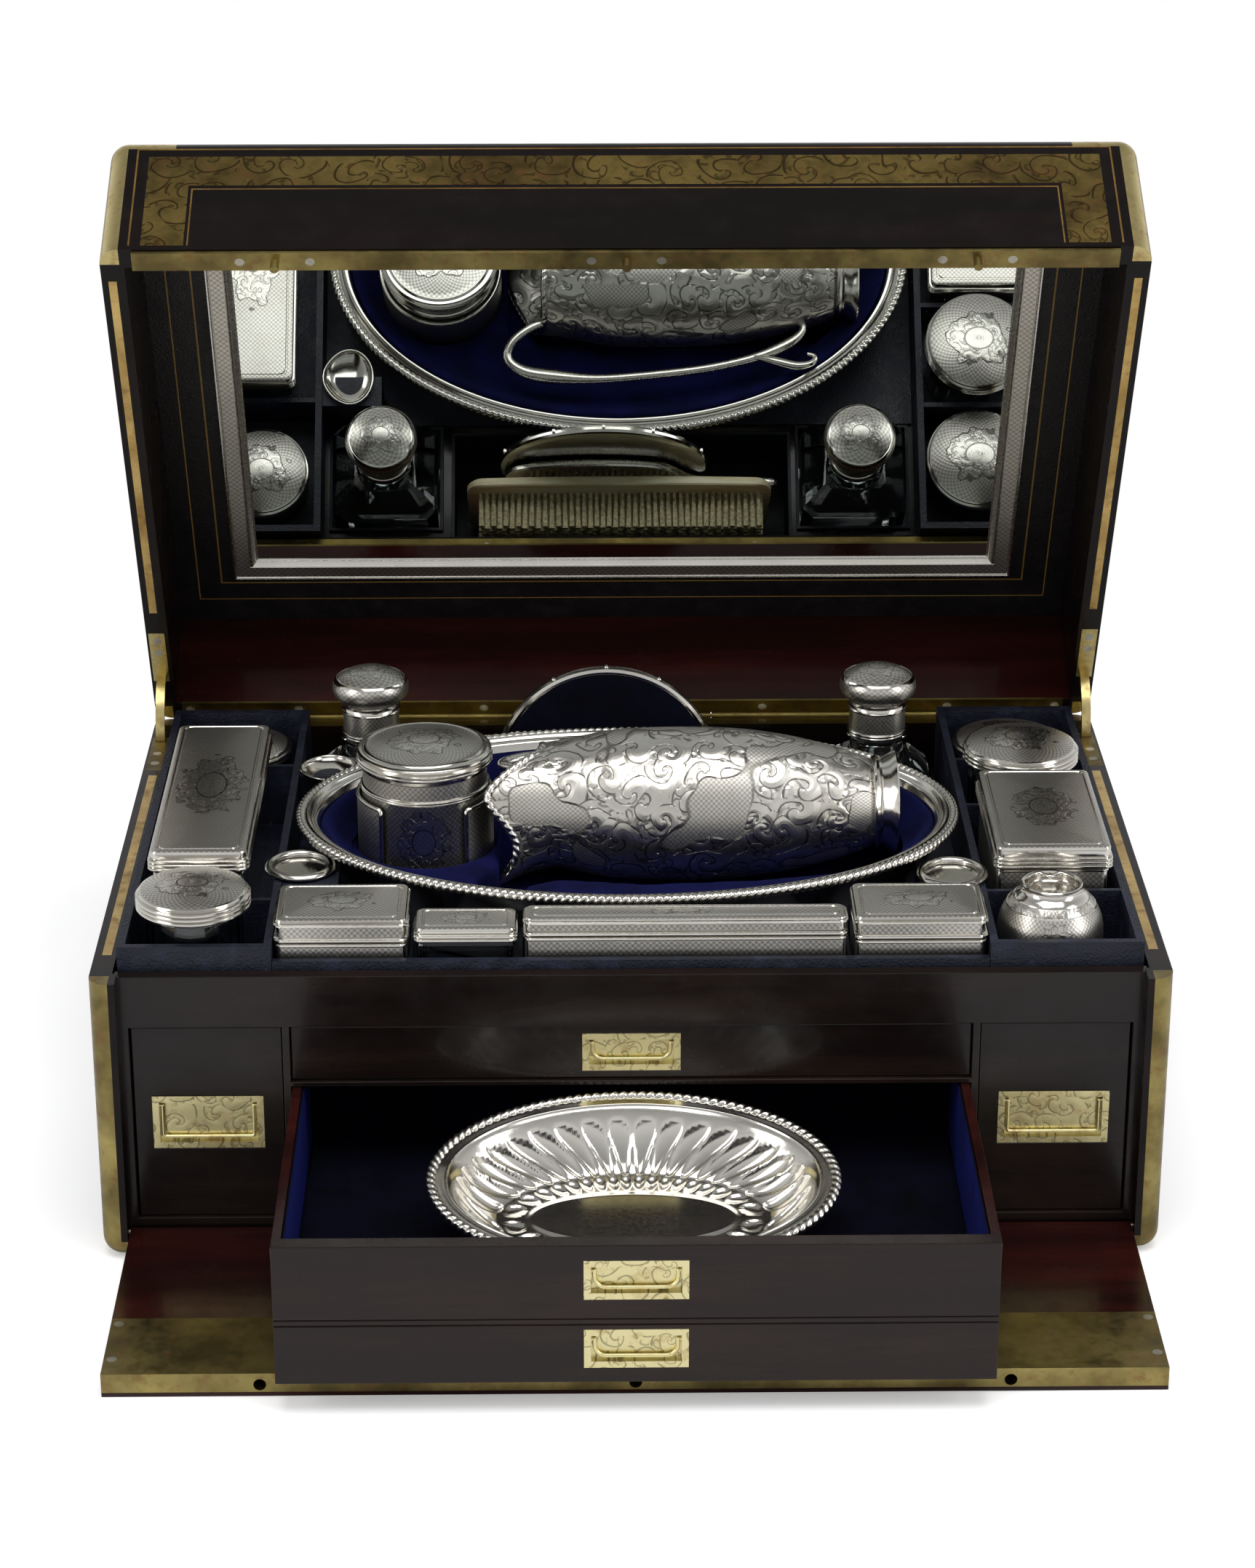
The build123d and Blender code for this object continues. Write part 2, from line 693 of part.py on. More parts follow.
with BuildPart() as round_jar_left:
    round_jar(-(tray_mid + 1.85), -half_depth + 44.4, 22.0, 25.8, 42.0, 54.0)
save(round_jar_left, "round_jar_left")

with BuildPart() as round_jar_right:
    round_jar(tray_mid - 2.25, -half_depth + 204.6, 25.0, 28.0, 45.0, 58.0)
save(round_jar_right, "round_jar_right")

# Two low jars in the back corners and two tubes in the brush well
with BuildPart() as back_jars:
    round_jar(-(tray_mid - 2.25), half_depth - 48.0, 23.5, 25.0, 23.0, 34.0)
    round_jar(tray_mid - 1.5, half_depth - 53.0, 27.5, 28.3, 26.0, 38.0)
    for place in (-77.5, 77.0):
        peg(place, half_depth - 63.1, brush_low, shelf_top + 28.0, 9.6)
        peg(place, half_depth - 63.1, shelf_top + 28.0 + seam, shelf_top + 36.0, 10.5)
save(back_jars, "back_jars")

# Oblong jar with a lift-off lid
oblong_x = -(tray_mid + 1.95)
oblong_y0 = -half_depth + 70.6
oblong_y1 = -half_depth + 228.0
with BuildPart() as oblong_jar:
    rounded_block(oblong_x - 21.0, oblong_x + 21.0, oblong_y0 + 2.0, oblong_y1 - 2.0,
                  jar_low, shelf_top + 46.0, 8.0)
    rounded_block(oblong_x - 17.5, oblong_x + 17.5, oblong_y0 + 5.5, oblong_y1 - 5.5,
                  jar_low + 3.5, shelf_top + 46.0, 5.0, Mode.SUBTRACT)
save(oblong_jar, "oblong_jar")

with BuildPart() as oblong_jar_lid:
    rounded_block(oblong_x - 23.0, oblong_x + 23.0, oblong_y0, oblong_y1,
                  shelf_top + 46.0 + loose_gap, shelf_top + 55.0, 10.0)
    rounded_block(oblong_x - 20.0, oblong_x + 20.0, oblong_y0 + 3.0, oblong_y1 - 3.0,
                  shelf_top + 55.0, shelf_top + 57.0, 8.0)
    rounded_block(oblong_x - 16.9, oblong_x + 16.9, oblong_y0 + 6.1, oblong_y1 - 6.1,
                  shelf_top + 43.0, shelf_top + 46.0 + loose_gap, 4.4)
save(oblong_jar_lid, "oblong_jar_lid")

# Square box: glass body and silver cover
square_x0 = tray_inner + 7.0
square_x1 = tray_inner + 61.5
square_y0 = -half_depth + 78.0
square_y1 = -half_depth + 173.0
with BuildPart() as square_box:
    rounded_block(square_x0 + 3, square_x1 - 3, square_y0 + 3, square_y1 - 3,
                  jar_low, shelf_top + 42.0, 5.0)
    rounded_block(square_x0, square_x1, square_y0, square_y1,
                  shelf_top + 42.0 + seam, shelf_top + 54.0, 7.0)
save(square_box, "square_box")

# Pear-shaped pot with a short neck
with BuildPart() as pot:
    turned(tray_mid - 4.25, -half_depth + 50.0, [
        (13.0, jar_low), (18.5, jar_low + 8.0), (22.0, shelf_top + 22.0),
        (24.0, shelf_top + 37.0), (21.5, shelf_top + 43.5), (14.0, shelf_top + 46.0),
        (13.0, shelf_top + 49.0)])
save(pot, "pot")

# Row of boxes along the front
row_front = -half_depth + 24.0
front_low = shelf_top + tray_floor + loose_gap


def row_box(x0, x1, depth, lid_low, lid_top_height, crown):
    rounded_block(x0 + 0.8, x1 - 0.8, row_front + 0.8, row_front + depth - 0.8,
                  front_low, shelf_top + lid_low, 3.0)
    rounded_block(x0, x1, row_front, row_front + depth,
                  shelf_top + lid_low + seam, shelf_top + lid_top_height, 3.5)
    if crown > 0:
        rounded_block(x0 + 4, x1 - 4, row_front + 4, row_front + depth - 4,
                      shelf_top + lid_top_height, shelf_top + lid_top_height + crown, 6.0)


with BuildPart() as domed_box_left:
    row_box(-tray_inner + 0.6, -tray_inner + 60.6, 42.0, 39.0, 42.0, 2.0)
save(domed_box_left, "domed_box_left")

with BuildPart() as glass_box:
    row_box(-tray_inner + 62.8, -tray_inner + 109.6, 25.0, 31.6, 39.3, 0)
save(glass_box, "glass_box")

with BuildPart() as long_box:
    row_box(-tray_inner + 111.8, tray_inner - 63.2, 17.5, 36.5, 44.0, 0)
save(long_box, "long_box")

with BuildPart() as domed_box_right:
    row_box(tray_inner - 60.6, tray_inner - 0.6, 40.0, 40.3, 42.5, 1.5)
save(domed_box_right, "domed_box_right")

# Two napkin rings and a small oval scoop, lying on the leather blocks
ring_low = shelf_top + tray_height + 0.3
with BuildPart() as rings_and_scoop:
    for place_x, place_y in ((-tray_inner + 8.0, -half_depth + 104.0),
                             (tray_inner - 11.0, -half_depth + 92.0)):
        peg(place_x, place_y, ring_low, ring_low + 2.7, 16.7)
        peg(place_x, place_y, ring_low, ring_low + 2.7, 12.5, Mode.SUBTRACT)
    scoop_x = -tray_inner + 15.0
    scoop_y = bottle_y - bottle_half_y - 18.5
    oval_loft(Plane.XY, [(ring_low, 6.0, 8.0), (ring_low + 4.0, 13.5, 16.5)], scoop_x, scoop_y)
    oval_loft(Plane.XY, [(ring_low + 1.0, 5.0, 7.0), (ring_low + 4.0, 12.5, 15.5)],
              scoop_x, scoop_y, Mode.SUBTRACT)
save(rings_and_scoop, "rings_and_scoop")

# Drawers
drawer_low = deck_top + loose_gap
side_x0 = divider_inner + divider_thickness + drawer_gap
side_x1 = inner_x - stile_width - drawer_gap
side_top = shelf_bottom - drawer_gap * 2 + 0.2
centre_half = divider_inner - drawer_gap
centre_top = dust_board_z - loose_gap
top_low = dust_board_z + dust_board + drawer_gap
centre_face = drawer_face - centre_drawer_out


def drawer(x0, x1, face, low, high):
    block(x0, x1, face, face + drawer_depth, low, high)
    block(x0 + drawer_wall, x1 - drawer_wall, face + drawer_front,
          face + drawer_depth - drawer_wall, low + drawer_bottom, high, Mode.SUBTRACT)


def plate_seat(x, z, face, size, mode):
    block(x - size[0] / 2, x + size[0] / 2, face, face + plate_depth,
          z - size[1] / 2, z + size[1] / 2, mode)


def handle_plate(x, z, face, size):
    # a flush plate with a dished recess, a thumb notch and two holes for the bail's pins
    plate_seat(x, z, face, size, Mode.ADD)
    block(x - size[2] / 2, x + size[2] / 2, face, face + recess_depth,
          z - size[3] / 2, z + size[3] / 2, Mode.SUBTRACT)
    pivot = bail_pivot(z, size)
    axle(x - size[0] / 2 + 0.8, x + size[0] / 2 - 0.8, face + bail_depth, pivot,
         bail_pin_radius + bail_pin_clearance, Mode.SUBTRACT)


bail_depth = 1.4


def bail_pivot(z, size):
    return z + size[3] / 2 - 2.2


def bail(x, z, face, size, corner):
    half_span = size[2] / 2 - bail_side_gap - bail_radius
    pivot = bail_pivot(z, size)
    low = z - size[3] / 2 + 2.2
    y = face + bail_depth
    points = [(x - half_span, y, pivot), (x - half_span, y, low),
              (x + half_span, y, low), (x + half_span, y, pivot)]
    with BuildLine() as path:
        FilletPolyline(*points, radius=corner)
    with BuildSketch(Plane(origin=path.line @ 0, z_dir=path.line % 0)) as bar:
        Circle(bail_radius)
    sweep(bar.sketch, path=path.line)
    for side in (-1, 1):
        with Locations((x + side * half_span, y, pivot)):
            Sphere(bail_radius)
        axle(x + side * half_span, x + side * (size[2] / 2 + 1.8), y, pivot, bail_pin_radius)


side_mid = (side_x0 + side_x1) / 2
side_plate_x = side_mid + 0.55
side_plate_z = (drawer_low + side_top) / 2
top_plate_z = (top_low + side_top) / 2 - 0.35
bead_z = drawer_low + 27.8
upper_plate_z = (bead_z + 2.8 + centre_top) / 2 + 1.0
lower_plate_z = (bead_z + drawer_low) / 2 + 2.3

with BuildPart() as left_drawer:
    drawer(-side_x1, -side_x0, drawer_face, drawer_low, side_top)
    plate_seat(-side_plate_x, side_plate_z, drawer_face, side_plate, Mode.SUBTRACT)
save(left_drawer, "left_drawer")

with BuildPart() as right_drawer:
    drawer(side_x0, side_x1, drawer_face, drawer_low, side_top)
    plate_seat(side_plate_x, side_plate_z, drawer_face, side_plate, Mode.SUBTRACT)
save(right_drawer, "right_drawer")

with BuildPart() as top_drawer:
    # the wide top drawer is put together from a front, two sides, a back and a bottom board
    boards_front = drawer_face + drawer_front + seam
    boards_back = drawer_face + drawer_depth
    between = centre_half - drawer_wall - seam
    block(-centre_half, centre_half, drawer_face, drawer_face + drawer_front, top_low, side_top)
    both_sides(centre_half - drawer_wall, centre_half, boards_front, boards_back,
               top_low, side_top)
    block(-between, between, boards_back - drawer_wall, boards_back, top_low, side_top)
    block(-between, between, boards_front, boards_back - drawer_wall - seam,
          top_low, top_low + drawer_bottom)
    plate_seat(0, top_plate_z, drawer_face, small_plate, Mode.SUBTRACT)
save(top_drawer, "top_drawer")

with BuildPart() as centre_drawer:
    drawer(-centre_half, centre_half, centre_face, drawer_low, centre_top)
    for line_z in (bead_z, bead_z + 2.8):
        block(-centre_half, centre_half, centre_face, centre_face + 0.5,
              line_z - 0.25, line_z + 0.25, Mode.SUBTRACT)
    plate_seat(0, upper_plate_z, centre_face, small_plate, Mode.SUBTRACT)
    plate_seat(0, lower_plate_z, centre_face, small_plate, Mode.SUBTRACT)
save(centre_drawer, "centre_drawer")

with BuildPart() as left_plate:
    handle_plate(-side_plate_x, side_plate_z, drawer_face, side_plate)
save(left_plate, "left_plate")

with BuildPart() as right_plate:
    handle_plate(side_plate_x, side_plate_z, drawer_face, side_plate)
save(right_plate, "right_plate")

with BuildPart() as top_plate:
    handle_plate(0, top_plate_z, drawer_face, small_plate)
save(top_plate, "top_plate")

with BuildPart() as centre_plates:
    handle_plate(0, upper_plate_z, centre_face, small_plate)
    handle_plate(0, lower_plate_z, centre_face, small_plate)
save(centre_plates, "centre_plates")

with BuildPart() as left_bail:
    bail(-side_plate_x, side_plate_z, drawer_face, side_plate, 1.6)
save(left_bail, "left_bail")

with BuildPart() as right_bail:
    bail(side_plate_x, side_plate_z, drawer_face, side_plate, 1.6)
save(right_bail, "right_bail")

with BuildPart() as top_bail:
    bail(0, top_plate_z, drawer_face, small_plate, 5.0)
save(top_bail, "top_bail")

with BuildPart() as upper_bail:
    bail(0, upper_plate_z, centre_face, small_plate, 5.0)
save(upper_bail, "upper_bail")

with BuildPart() as lower_bail:
    bail(0, lower_plate_z, centre_face, small_plate, 5.0)
save(lower_bail, "lower_bail")

# Oval dish, tilted on its velvet cradle in the centre drawer
dish_y = centre_face + 80.5
dish_z = centre_top - 11.4
tilt = math.radians(dish_tilt)
dish_plane = Plane(
    origin=(0, dish_y, dish_z),
    x_dir=(1, 0, 0),
    z_dir=(0, -math.sin(tilt), math.cos(tilt)),
)
dish_bowl = [(-dish_depth, 50.0, 28.0), (-dish_rim, 70.0, 44.0)]
with BuildPart() as dish:
    oval_loft(dish_plane, dish_bowl)
    oval_loft(dish_plane, [(-dish_rim, dish_half_length, dish_half_width),
                           (0.0, dish_half_length, dish_half_width)])
    oval_loft(dish_plane, [(-dish_depth + dish_wall, 50.0 - dish_wall, 28.0 - dish_wall),
                           (0.0, 70.0 - dish_wall, 44.0 - dish_wall)], mode=Mode.SUBTRACT)
save(dish, "dish")

with BuildPart() as dish_cradle:
    block(-centre_half + drawer_wall + loose_gap, centre_half - drawer_wall - loose_gap,
          centre_face + drawer_front + loose_gap, centre_face + drawer_depth - drawer_wall
          - loose_gap, drawer_low + drawer_bottom + loose_gap, drawer_low + 22.6)
    oval_loft(Plane.XY, [(drawer_low + 22.6, 66.0, 42.0), (drawer_low + 36.0, 62.0, 38.0)],
              0, dish_y)
    oval_loft(dish_plane, [(-dish_depth - 0.8, 50.8, 28.8), (2.0, 72.6, 46.2)],
              mode=Mode.SUBTRACT)
save(dish_cradle, "dish_cradle")

# Drop front, lying open
front_near = -half_depth + 10.5
pivot_y = -half_depth + pivot_set_back
front_far = pivot_y - (base_height - front_top_gap - pivot_height)
front_half = opening_x - front_end_gap
catch_hole_z = front_thickness / 2
front_plate_screws = [(side * (front_half - 3.5), y) for side in (-1, 1)
                      for y in (front_far + 42.0, front_far + 12.5)]


def front_screws(mode=Mode.ADD):
    for x, y in front_plate_screws:
        screw(x, y, front_thickness, -1, mode)


with BuildPart() as fall_front_panel:
    block(-front_half, front_half, front_far, front_near, 0, front_thickness)
    chamfer(fall_front_panel.edges().filter_by(Axis.X).group_by(Axis.Y)[-1], 1.0)
    block(-front_half, front_half, front_far + 4.5, front_far + 46.5,
          front_thickness - plate_thickness, front_thickness, Mode.SUBTRACT)
    block(-front_half, front_half, front_far, front_far + end_cap_depth,
          front_thickness - end_cap_thickness, front_thickness, Mode.SUBTRACT)
    for side in (-1, 1):
        axle(side * (front_half - 5.5), side * front_half, pivot_y, pivot_height,
             pivot_radius, Mode.SUBTRACT)
    for place in (-catch_spacing, 0, catch_spacing):
        with Locations(Location((place, front_far + 4.5, catch_hole_z), (90, 0, 0))):
            Cylinder(2.75, 9.0, mode=Mode.SUBTRACT)
    front_screws(Mode.SUBTRACT)
save(fall_front_panel, "fall_front_panel")

# Brass plate and end cap of the drop front
with BuildPart() as fall_front_plate:
    block(-front_half, front_half, front_far + 4.5, front_far + 46.5,
          front_thickness - plate_thickness, front_thickness)
    block(-front_half, front_half, front_far, front_far + end_cap_depth,
          front_thickness - end_cap_thickness, front_thickness)
    for place in (-catch_spacing, 0, catch_spacing):
        with Locations(Location((place, front_far + 4.5, catch_hole_z), (90, 0, 0))):
            Cylinder(2.75, 9.0, mode=Mode.SUBTRACT)
    front_screws(Mode.SUBTRACT)
save(fall_front_plate, "fall_front_plate")

with BuildPart() as fall_front_fittings:
    front_screws()
    for side in (-1, 1):
        axle(side * (front_half - 5.5), side * (opening_x + 4.0), pivot_y, pivot_height,
             pivot_radius)
save(fall_front_fittings, "fall_front_fittings")


# Lid
def lid_corner_regions(mode):
    for side in (-1, 1):
        for y in (-box_depth, -binding_size):
            block(side * column_x, side * half_width, y, y + binding_size,
                  lid_rim, lid_height, mode)
        for y0, y1 in ((-box_depth + binding_size, -box_depth + lid_arm_length),
                       (-lid_arm_length, -binding_size)):
            block(side * column_x, side * half_width, y0, y1,
                  lid_height - binding_size, lid_height, mode)
        for y in (-box_depth, -binding_size):
            block(side * (half_width - lid_arm_length), side * column_x, y, y + binding_size,
                  lid_height - binding_size, lid_height, mode)


def lid_envelope(lid_piece):
    block(-half_width, half_width, -box_depth, 0, lid_rim, lid_height)
    up = Axis(lid_plane.origin, lid_plane.z_dir)
    standing = lid_piece.edges().filter_by(up)
    top = lid_piece.faces().sort_by(up)[-1].edges()
    fillet(standing + top, edge_radius)


with BuildPart(lid_plane) as lid_shell:
    lid_envelope(lid_shell)
    block(-half_width + lid_wall, half_width - lid_wall, -box_depth + lid_wall, -lid_wall,
          lid_rim, lid_height - lid_top, Mode.SUBTRACT)
    lid_corner_regions(Mode.SUBTRACT)
    block(-knuckle_half - seam, knuckle_half + seam, -leaf_width - 1.0 - seam, 0,
          lid_rim, lid_rim + leaf_thickness, Mode.SUBTRACT)
    axle(-knuckle_half - seam, knuckle_half + seam, 0, 0,
         knuckle_radius + swing_clearance, Mode.SUBTRACT)
    for side in (-1, 1):
        block(side * (stay_x - stay_plate_width / 2), side * (stay_x + stay_plate_width / 2),
              -63.0, -28.0, lid_rim, lid_rim + leaf_thickness, Mode.SUBTRACT)
    lid_screw_set(Mode.SUBTRACT)
save(lid_shell, "lid_shell")

with BuildPart() as lid_corner_mask:
    lid_corner_regions(Mode.ADD)

with BuildPart(lid_plane) as lid_corner_bindings:
    lid_envelope(lid_corner_bindings)
    add(lid_corner_mask.part, mode=Mode.INTERSECT)
save(lid_corner_bindings, "lid_corner_bindings")

lining_low = lid_height - lid_top - lining_thickness
with BuildPart(lid_plane) as lid_lining:
    block(-half_width + lid_wall, half_width - lid_wall, -box_depth + lid_wall, -lid_wall,
          lining_low, lid_height - lid_top)
save(lid_lining, "lid_lining")

mirror_low = lining_low - mirror_frame_height
mirror_y = -box_depth / 2
glass_x = mirror_frame_width / 2 - mirror_frame_border + 5.0
glass_y = mirror_frame_depth / 2 - mirror_frame_border + 5.0
with BuildPart(lid_plane) as mirror_frame:
    block(-mirror_frame_width / 2, mirror_frame_width / 2, mirror_y - mirror_frame_depth / 2,
          mirror_y + mirror_frame_depth / 2, mirror_low, lining_low)
    block(-mirror_frame_width / 2 + mirror_frame_border,
          mirror_frame_width / 2 - mirror_frame_border,
          mirror_y - mirror_frame_depth / 2 + mirror_frame_border,
          mirror_y + mirror_frame_depth / 2 - mirror_frame_border,
          mirror_low, lining_low, Mode.SUBTRACT)
    block(-glass_x, glass_x, mirror_y - glass_y, mirror_y + glass_y,
          lining_low - glass_thickness - 0.2, lining_low, Mode.SUBTRACT)
save(mirror_frame, "mirror_frame")

with BuildPart(lid_plane) as mirror_glass:
    block(-glass_x + glass_clearance, glass_x - glass_clearance,
          mirror_y - glass_y + glass_clearance, mirror_y + glass_y - glass_clearance,
          lining_low - glass_thickness - 0.1, lining_low - 0.1)
save(mirror_glass, "mirror_glass")

with BuildPart(lid_plane) as lid_front_rail:
    block(-opening_x + 3.0, opening_x - 3.0, -box_depth + 1.0, -box_depth + lid_wall,
          lid_rim - rail_thickness, lid_rim)
    for place in (-catch_spacing, 0, catch_spacing):
        peg(place, catch_y, lid_rim - rail_thickness - catch_length, lid_rim - rail_thickness,
            catch_radius)
    lid_screw_set(Mode.SUBTRACT)
save(lid_front_rail, "lid_front_rail")

with BuildPart(lid_plane) as hinge_lid_leaf:
    block(-knuckle_half, knuckle_half, -leaf_width - 1.0, -1.0,
          lid_rim, lid_rim + leaf_thickness)
    for index in range(knuckle_count):
        start = -knuckle_half + index * (knuckle_length + knuckle_gap)
        if index % 2 == 1:
            axle(start, start + knuckle_length, 0, 0, knuckle_radius)
        else:
            axle(start - knuckle_gap, start + knuckle_length + knuckle_gap, 0, 0,
                 knuckle_radius + swing_clearance, Mode.SUBTRACT)
    axle(-knuckle_half - 1, knuckle_half + 1, 0, 0, hinge_pin_radius + pin_clearance,
         Mode.SUBTRACT)
    for place in hinge_screw_x:
        screw(place, hinge_screw_y - hinge_y, lid_rim, 1, Mode.SUBTRACT)
save(hinge_lid_leaf, "hinge_lid_leaf")

with BuildPart(lid_plane) as stay_arms:
    for side in (-1, 1):
        block(side * (stay_x - stay_plate_width / 2), side * (stay_x + stay_plate_width / 2),
              -63.0, -28.0, lid_rim, lid_rim + leaf_thickness)
        sector(lid_arc_plane(side * stay_x), stay_radius - stay_thickness / 2,
               stay_radius + stay_thickness / 2, 178.6, stay_drop_angle + 1.4, stay_width)
    for side in (-1, 1):
        for y in lid_stay_screws:
            screw(side * stay_x, y, lid_rim, 1, Mode.SUBTRACT)
save(stay_arms, "stay_arms")

with BuildPart(lid_plane) as lid_screws:
    lid_screw_set()
save(lid_screws, "lid_screws")
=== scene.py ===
# %% [markdown]
# # A fitted dressing box
# The object is a brass-bound travelling box with its lid up, its drop front down and
# its middle drawer out. Its case is a fixed frame that was drawn first, to true size.
# Everything here is added round that frame, in metres, in the same place.

# %% Load the frame
import bpy
import json
import math
from functools import partial
from mathutils import Matrix, Vector


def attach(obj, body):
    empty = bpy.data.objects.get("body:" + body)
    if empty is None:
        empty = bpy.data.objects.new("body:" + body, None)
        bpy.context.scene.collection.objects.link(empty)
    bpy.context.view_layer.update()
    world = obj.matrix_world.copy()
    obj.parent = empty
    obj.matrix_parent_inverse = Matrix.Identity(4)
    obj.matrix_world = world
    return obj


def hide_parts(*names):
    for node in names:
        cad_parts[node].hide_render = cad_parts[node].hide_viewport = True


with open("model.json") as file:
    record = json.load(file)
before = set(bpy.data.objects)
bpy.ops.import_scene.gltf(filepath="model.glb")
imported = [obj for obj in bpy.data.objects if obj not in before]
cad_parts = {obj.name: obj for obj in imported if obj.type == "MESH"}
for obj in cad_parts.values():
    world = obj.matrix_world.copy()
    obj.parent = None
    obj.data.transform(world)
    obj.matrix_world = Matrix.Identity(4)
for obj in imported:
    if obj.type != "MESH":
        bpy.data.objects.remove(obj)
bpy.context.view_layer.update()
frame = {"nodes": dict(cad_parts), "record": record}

# %% [markdown]
# Drawings of furniture are made in millimetres and Blender works in metres, so one
# short name turns one into the other. The lid is easier to model shut, in its own
# coordinates, so one matrix swings each finished piece up with the open lid.

# %% Millimetres, and the open lid
MM = 0.001
LID_ANGLE = math.radians(64.0)
LID_HINGE = Vector((0.0, 158.0 * MM, 138.2 * MM))
LID_MATRIX = Matrix.Translation(LID_HINGE) @ Matrix.Rotation(-LID_ANGLE, 4, "X")

print("lid stands at", round(math.degrees(LID_ANGLE)), "degrees")

# %% [markdown]
# ## Camera, floor and light
# The box is seen from a little above, with a long lens, so its edges hardly
# converge. A pale floor and large soft lamps suit polished metal: what silver shows
# is mostly what stands round it.

# %% Camera
camera_data = bpy.data.cameras.new("studio_camera")
camera = bpy.data.objects.new("studio_camera", camera_data)
bpy.context.collection.objects.link(camera)
camera_data.sensor_fit = "VERTICAL"
camera_data.sensor_height = 36.0
camera_data.lens = 89.78
camera_data.clip_end = 30.0
camera.location = Vector((-22.71, -1713.56, 884.18)) * MM
look_down = math.radians(22.726)
look_right = math.radians(0.764)
forward = Vector((
    math.sin(look_right) * math.cos(look_down),
    math.cos(look_right) * math.cos(look_down),
    -math.sin(look_down),
))
camera.rotation_euler = forward.to_track_quat("-Z", "Y").to_euler()
bpy.context.scene.camera = camera

# %% [markdown]
# ## Materials
# One function turns a hex colour, as a paint chart gives it, into Blender's linear
# values. One more adds a node with its settings and its inputs, so that a material
# reads as a list of what it is made of. Three kinds of node come back again and again.
# A noise takes its place, nothing, its scale, its detail and its roughness; a scale of
# 1000 / 26 gives blots about 26 mm across. A map range takes a value, the range it is
# read in and the range it gives. A mix takes a share in its input 0 and two colours in
# its inputs 6 and 7.

# %% Colour and node helpers
def hex_colour(code):
    parts = [int(code[i:i + 2], 16) / 255.0 for i in (1, 3, 5)]
    linear = [p / 12.92 if p <= 0.04045 else ((p + 0.055) / 1.055) ** 2.4 for p in parts]
    return (*linear, 1.0)


def fill(node, inputs):
    """Gives inputs, by name or number, a socket, a plain value or a hex colour."""
    for key, value in inputs.items():
        if isinstance(value, bpy.types.NodeSocket):
            node.id_data.links.new(value, node.inputs[key])
        elif value is not None:
            plain = hex_colour(value) if isinstance(value, str) else value
            node.inputs[key].default_value = plain


def add_node(tree, kind, inputs=(), out=0, **settings):
    """Adds a node with its settings and inputs; gives back one output, or the node."""
    node = tree.nodes.new("ShaderNode" + kind)
    for key, value in settings.items():
        setattr(node, key, value)
    fill(node, inputs if isinstance(inputs, dict) else dict(enumerate(inputs)))
    return node if out is None else node.outputs[out]


def join(finish, **values):
    """Sets or links sockets of a finish's Principled shader, such as Base_Color."""
    fill(finish.node_tree.nodes["Principled BSDF"],
         {key.replace("_", " "): value for key, value in values.items()})
    return finish


def new_finish(name, **values):
    """A material with plain values on its shader, and the function that adds its nodes."""
    finish = bpy.data.materials.new(name)
    finish.use_nodes = True
    return join(finish, **values), partial(add_node, finish.node_tree)


def pattern_space(add, centre=(0, 0, 0), turn=(0, 0, 0), stretch=(1, 1, 1)):
    """Object coordinates in metres, moved and turned to a piece's own centre."""
    return add("Mapping", {
        "Vector": add("TexCoord", out="Object"), "Location": [c * MM for c in centre],
        "Rotation": turn, "Scale": stretch}, vector_type="TEXTURE")


def off_middle(add, value, middle):
    """How far a value is from a middle, on either side."""
    return add("Math", [add("Math", [value, middle], operation="SUBTRACT")],
               operation="ABSOLUTE")


def line_at(add, value, level, sharp, soft, dark=1.0):
    """A line where a value passes a level: dark within sharp of it, none beyond soft."""
    return add("MapRange", [off_middle(add, value, level), sharp, soft, dark, 0.0])


def inside_box(add, vector, low, high):
    """1 where a point lies inside a box given in millimetres, and 0 elsewhere."""
    mask = 1.0
    for part, a, b in zip(add("SeparateXYZ", [vector], None).outputs, low, high):
        off = off_middle(add, part, (a + b) / 2 * MM)
        within = add("Math", [off, (b - a) / 2 * MM], operation="LESS_THAN")
        mask = add("Math", [mask, within], operation="MULTIPLY")
    return mask


# %% [markdown]
# ### Coromandel veneer
# The case is veneered in coromandel, a very dark ebony with faint red-brown streaks,
# under an old French polish. The streaks are noise that is pulled out along the
# grain; the polish is a thin coat over a slightly uneven surface.

